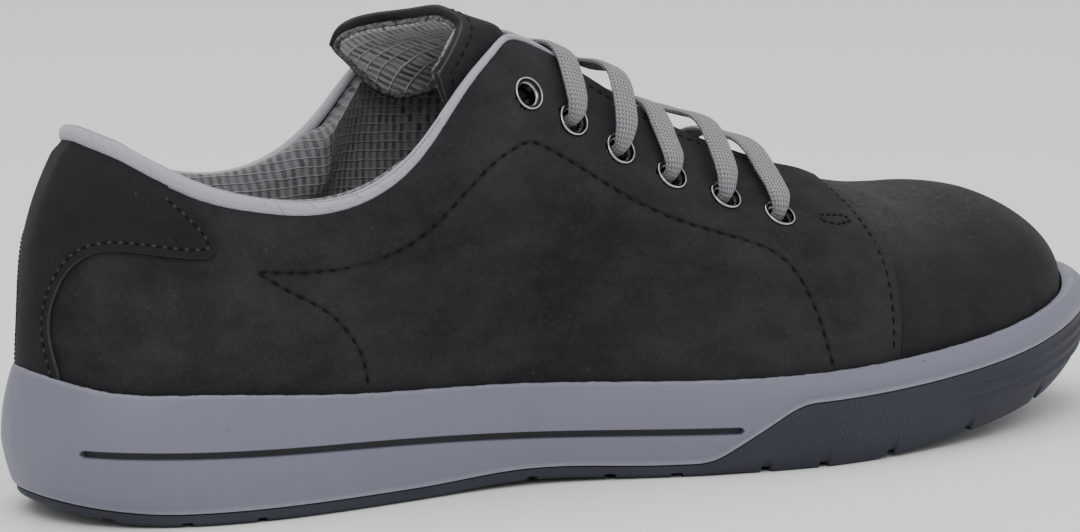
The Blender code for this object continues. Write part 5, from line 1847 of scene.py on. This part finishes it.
@dataclass
class Laces:
    """Flat braided lace in straight bars; the top pair of eyelets stays empty."""

    width: float = 0.0068
    thickness: float = 0.0017

    def bar_path(self, number: int) -> tuple[Array, Array, Array, Array]:
        """Return a bar's middle line, its width direction, its width and how cupped it is."""
        share, rise = EYELET_PLACES[number]
        lift = LACE_RISE[number - 1]
        rises = np.array((rise, rise, rise + 0.02, rise + 0.07, rise + 0.15, 1.0))
        heights = np.array((-1.9, 0.35, 1.45, 1.85 + 0.4 * lift, 1.60 + 0.8 * lift, 1.12 + lift))
        sizes = np.array((0.50, 0.54, 0.72, 0.94, 1.0, 1.0))
        cups = np.array((1.0, 0.9, 0.55, 0.20, 0.08, 0.04))
        ends = []
        for side in Side:
            outer, _, normal = LAST.layers(side, np.full(6, share), rises)
            normal[:3] = normal[0]
            line = outer + normal * (heights * self.thickness)[:, None]
            near = LAST.layers(side, np.array((share - 0.004, share + 0.004)), np.full(2, rise))[0]
            ends.append((line, near[1] - near[0]))
        (left, along_left), (right, along_right) = ends
        middle = (left[-1] + right[-1]) / 2 + np.array((0.0, 0.0, 0.47 * self.thickness))
        line = np.concatenate((left, [middle], right[::-1]))
        size = np.concatenate((sizes, [1.0], sizes[::-1]))
        cup = np.concatenate((cups, [0.03], cups[::-1]))
        blend = np.linspace(0, 1, len(line))[:, None]
        wide = along_left * (1 - blend) + along_right * blend
        return line, wide, size, cup

    def build(self) -> list[bpy.types.Object]:
        """Build the five bars.

        Returns:
            One piece for each bar.
        """
        braid = Braid().build()
        pieces = []
        for number in range(1, 6):
            line, wide, size, cup = self.bar_path(number)
            along = arc_lengths(line, 0)
            fine = np.linspace(0, along[-1], 130)
            path = cubic(along, line)(fine)
            wide = between(fine, along, wide)
            size, cup = between(fine, along, np.column_stack((size, cup))).T[..., None]
            way = unit(np.gradient(path, axis=0))
            wide = unit(wide - way * (wide * way).sum(axis=1)[:, None])
            up = unit(np.cross(way, wide))
            up *= np.sign(up[len(up) // 2, 2])
            turn = np.linspace(0, 2 * math.pi, 33)
            c, s = np.cos(turn), np.sin(turn)
            x = np.sign(c) * np.abs(c) ** 0.45
            z = np.sign(s) * np.abs(s) ** 0.75
            half_w, half_t = self.width / 2 * size, self.thickness / 2
            wander = 1 + 0.03 * waves(fine * 700, 60 + number)[:, None]
            sag = cup * x ** 2 * half_w * 0.55
            points = around(path, wide, up, x * half_w * wander, z * half_t * (1 + 0.25 * (1 - size)) - sag)
            round_way = arc_lengths(np.column_stack((x * self.width / 2, z * half_t)), 0)
            made = closed(net(points, np.stack(np.meshgrid(fine, round_way, indexing="ij"), axis=-1)))
            piece = finish_mesh(f"lace_bar_{number}_braid", made, braid, 60.0)
            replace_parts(piece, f"lace_bar_{number}")
            pieces.append(piece)
        return pieces


@dataclass
class Stitching:
    """Rows of lock stitches, each a small twisted thread sunk between two needle holes."""

    pitch: float = 0.0037
    length: float = 0.0021
    width: float = 0.00078
    height: float = 0.00038

    def row(
        self,
        made: bmesh.types.BMesh,
        line: Array,
        lifts: Array,
        pitch: float,
        length: float,
        inset: float = 0.5,
    ) -> None:
        """Add one row of stitches.

        Args:
            made: The mesh that takes them.
            line: Points of the row, on the leather.
            lifts: The leather's normals there.
            pitch: Distance from one needle hole to the next.
            length: Length of thread that shows.
            inset: Length left free at each end, in pitches.
        """
        at, knots = spaced(line, pitch, pitch * inset), np.arange(len(line))
        rng = np.random.default_rng(len(line))
        places = (between(at, knots, line), between(at + 0.4, knots, line), between(at, knots, lifts))
        for here, ahead, lift in zip(*places):
            way = Vector(ahead - here).normalized()
            z = Vector(lift).normalized()
            y = z.cross(way).normalized()
            skew = rng.uniform(-0.06, 0.06)
            way = (way + y * skew).normalized()
            y = z.cross(way).normalized()
            turn = Matrix((way, y, z)).transposed().to_4x4()
            size = (length * rng.uniform(0.92, 1.06), self.width, self.height, 2.0)
            scale = Matrix.Diagonal([part / 2 for part in size])
            turn.translation = Vector(here) + z * (self.height * 0.05)
            bmesh.ops.create_uvsphere(made, u_segments=8, v_segments=5, radius=1.0, matrix=turn @ scale)

    def build(self) -> list[bpy.types.Object]:
        """Build the rows on both sides of the shoe.

        Returns:
            One piece for each kind of row.
        """
        dark = Thread("thread").build()
        grey = Thread("counter_thread", (0.070, 0.070, 0.073), (0.008, 0.008, 0.009)).build()
        panel, front, patch, facing = (bmesh.new() for _ in range(4))
        for side in Side:
            for table in (PANEL_TOP_LINE, PANEL_LOW_LINE):
                self.on_surface(panel, side, smooth_table(table, 220), self.pitch, self.length)
            rise = np.linspace(0.03, 0.93, 60)
            share = LAST.quarter_front - np.interp(rise, (0, 0.6, 1), (0.0085, 0.0098, 0.0100))
            self.on_surface(front, side, np.column_stack((share, rise)), 0.0031, 0.0020)
            dense = np.concatenate([np.linspace(a, b, 20) for a, b in zip(BAR_TACK, BAR_TACK[1:])])
            self.on_surface(front, side, dense, 0.0021, 0.0016)
            line, lifts = counter_outline(side, 0.0021, Upper.counter_gap + Upper.counter_thickness)
            self.row(patch, line, lifts, 0.0027, 0.0011)
            self.row(facing, line, lifts, 0.0027, 0.0012, 0.0)
            share = np.linspace(0.464, 0.716, 120)
            self.on_surface(facing, side, np.column_stack((share, np.full(120, 0.955))), 0.0031, 0.0020)
        rows = (
            ("panel", panel, dark),
            ("front", front, dark),
            ("counter", patch, grey),
            ("facing", facing, dark),
        )
        return [
            finish_mesh(f"{name}_stitches", made, thread, 80.0)
            for name, made, thread in rows
        ]

    def on_surface(
        self, made: bmesh.types.BMesh, side: Side, table: Array, pitch: float, length: float
    ) -> None:
        """Add a row along a table of (share, rise) on the upper."""
        outer, _, normal = LAST.layers(side, table[:, 0], np.clip(table[:, 1], 0, 1))
        self.row(made, outer, normal, pitch, length)


# Studio


@dataclass
class Studio:
    """Pale floor, soft light and the camera at the photograph's angle."""

    lens: float = 207.946
    sensor: float = 36.0

    def build(self) -> None:
        """Build the floor, the lights and the camera."""
        made = bmesh.new()
        bmesh.ops.create_grid(made, x_segments=2, y_segments=2, size=6.0)
        mesh = bpy.data.meshes.new("studio_floor")
        made.to_mesh(mesh)
        made.free()
        mesh.materials.append(StudioPaper().build())
        floor = bpy.data.objects.new("studio_floor", mesh)
        bpy.context.scene.collection.objects.link(floor)
        world = bpy.data.worlds.new("studio_air")
        world.use_nodes = True
        background = world.node_tree.nodes["Background"]
        background.inputs["Color"].default_value = (1.0, 1.0, 1.0, 1.0)
        background.inputs["Strength"].default_value = 0.72
        bpy.context.scene.world = world
        self._light("key", (-0.55, -1.10, 1.15), 1.1, 12.0)
        self._light("fill", (1.10, -0.70, 0.75), 1.2, 4.0)
        self._light("top", (-0.10, 0.35, 1.40), 1.4, 11.0)
        self._camera()

    def _light(self, name: str, place: Sequence[float], size: float, power: float) -> None:
        """Add a square soft light that faces the shoe."""
        data = bpy.data.lights.new(name, "AREA")
        data.shape = "SQUARE"
        data.size = size
        data.energy = power
        lamp = bpy.data.objects.new(name, data)
        lamp.location = place
        aim = Vector((0.0, 0.0, 0.05)) - Vector(place)
        lamp.rotation_euler = aim.to_track_quat("-Z", "Y").to_euler()
        bpy.context.scene.collection.objects.link(lamp)

    def _camera(self) -> None:
        """Add the camera that was fitted to the photograph."""
        data = bpy.data.cameras.new("photo_camera")
        data.lens = self.lens
        data.sensor_width = self.sensor
        data.clip_start = 0.05
        data.clip_end = 30.0
        camera = bpy.data.objects.new("photo_camera", data)
        camera.matrix_world = Matrix((
            (0.8854, 0.0945, -0.4551, -0.7348),
            (-0.4645, 0.1422, -0.8741, -1.3962),
            (-0.0179, 0.9853, 0.1698, 0.3211),
            (0.0, 0.0, 0.0, 1.0),
        ))
        bpy.context.scene.collection.objects.link(camera)
        bpy.context.scene.camera = camera


def main() -> None:
    """Build the shoe's sub-assemblies in order, and the studio round them."""
    Studio().build()
    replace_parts(Outsole().build()[0], "outsole")
    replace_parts(Midsole().build(), "midsole")
    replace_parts(Insole().build(), "insole")
    quarters, _, patch = Upper().build()
    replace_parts(quarters, "upper")
    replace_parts(patch, "heel_counter")
    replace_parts(Collar().build()[1], "collar_piping")
    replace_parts(Tongue().build()[0], "tongue")
    Eyelets().build()
    Laces().build()
    Stitching().build()


if __name__ == "__main__":
    main()
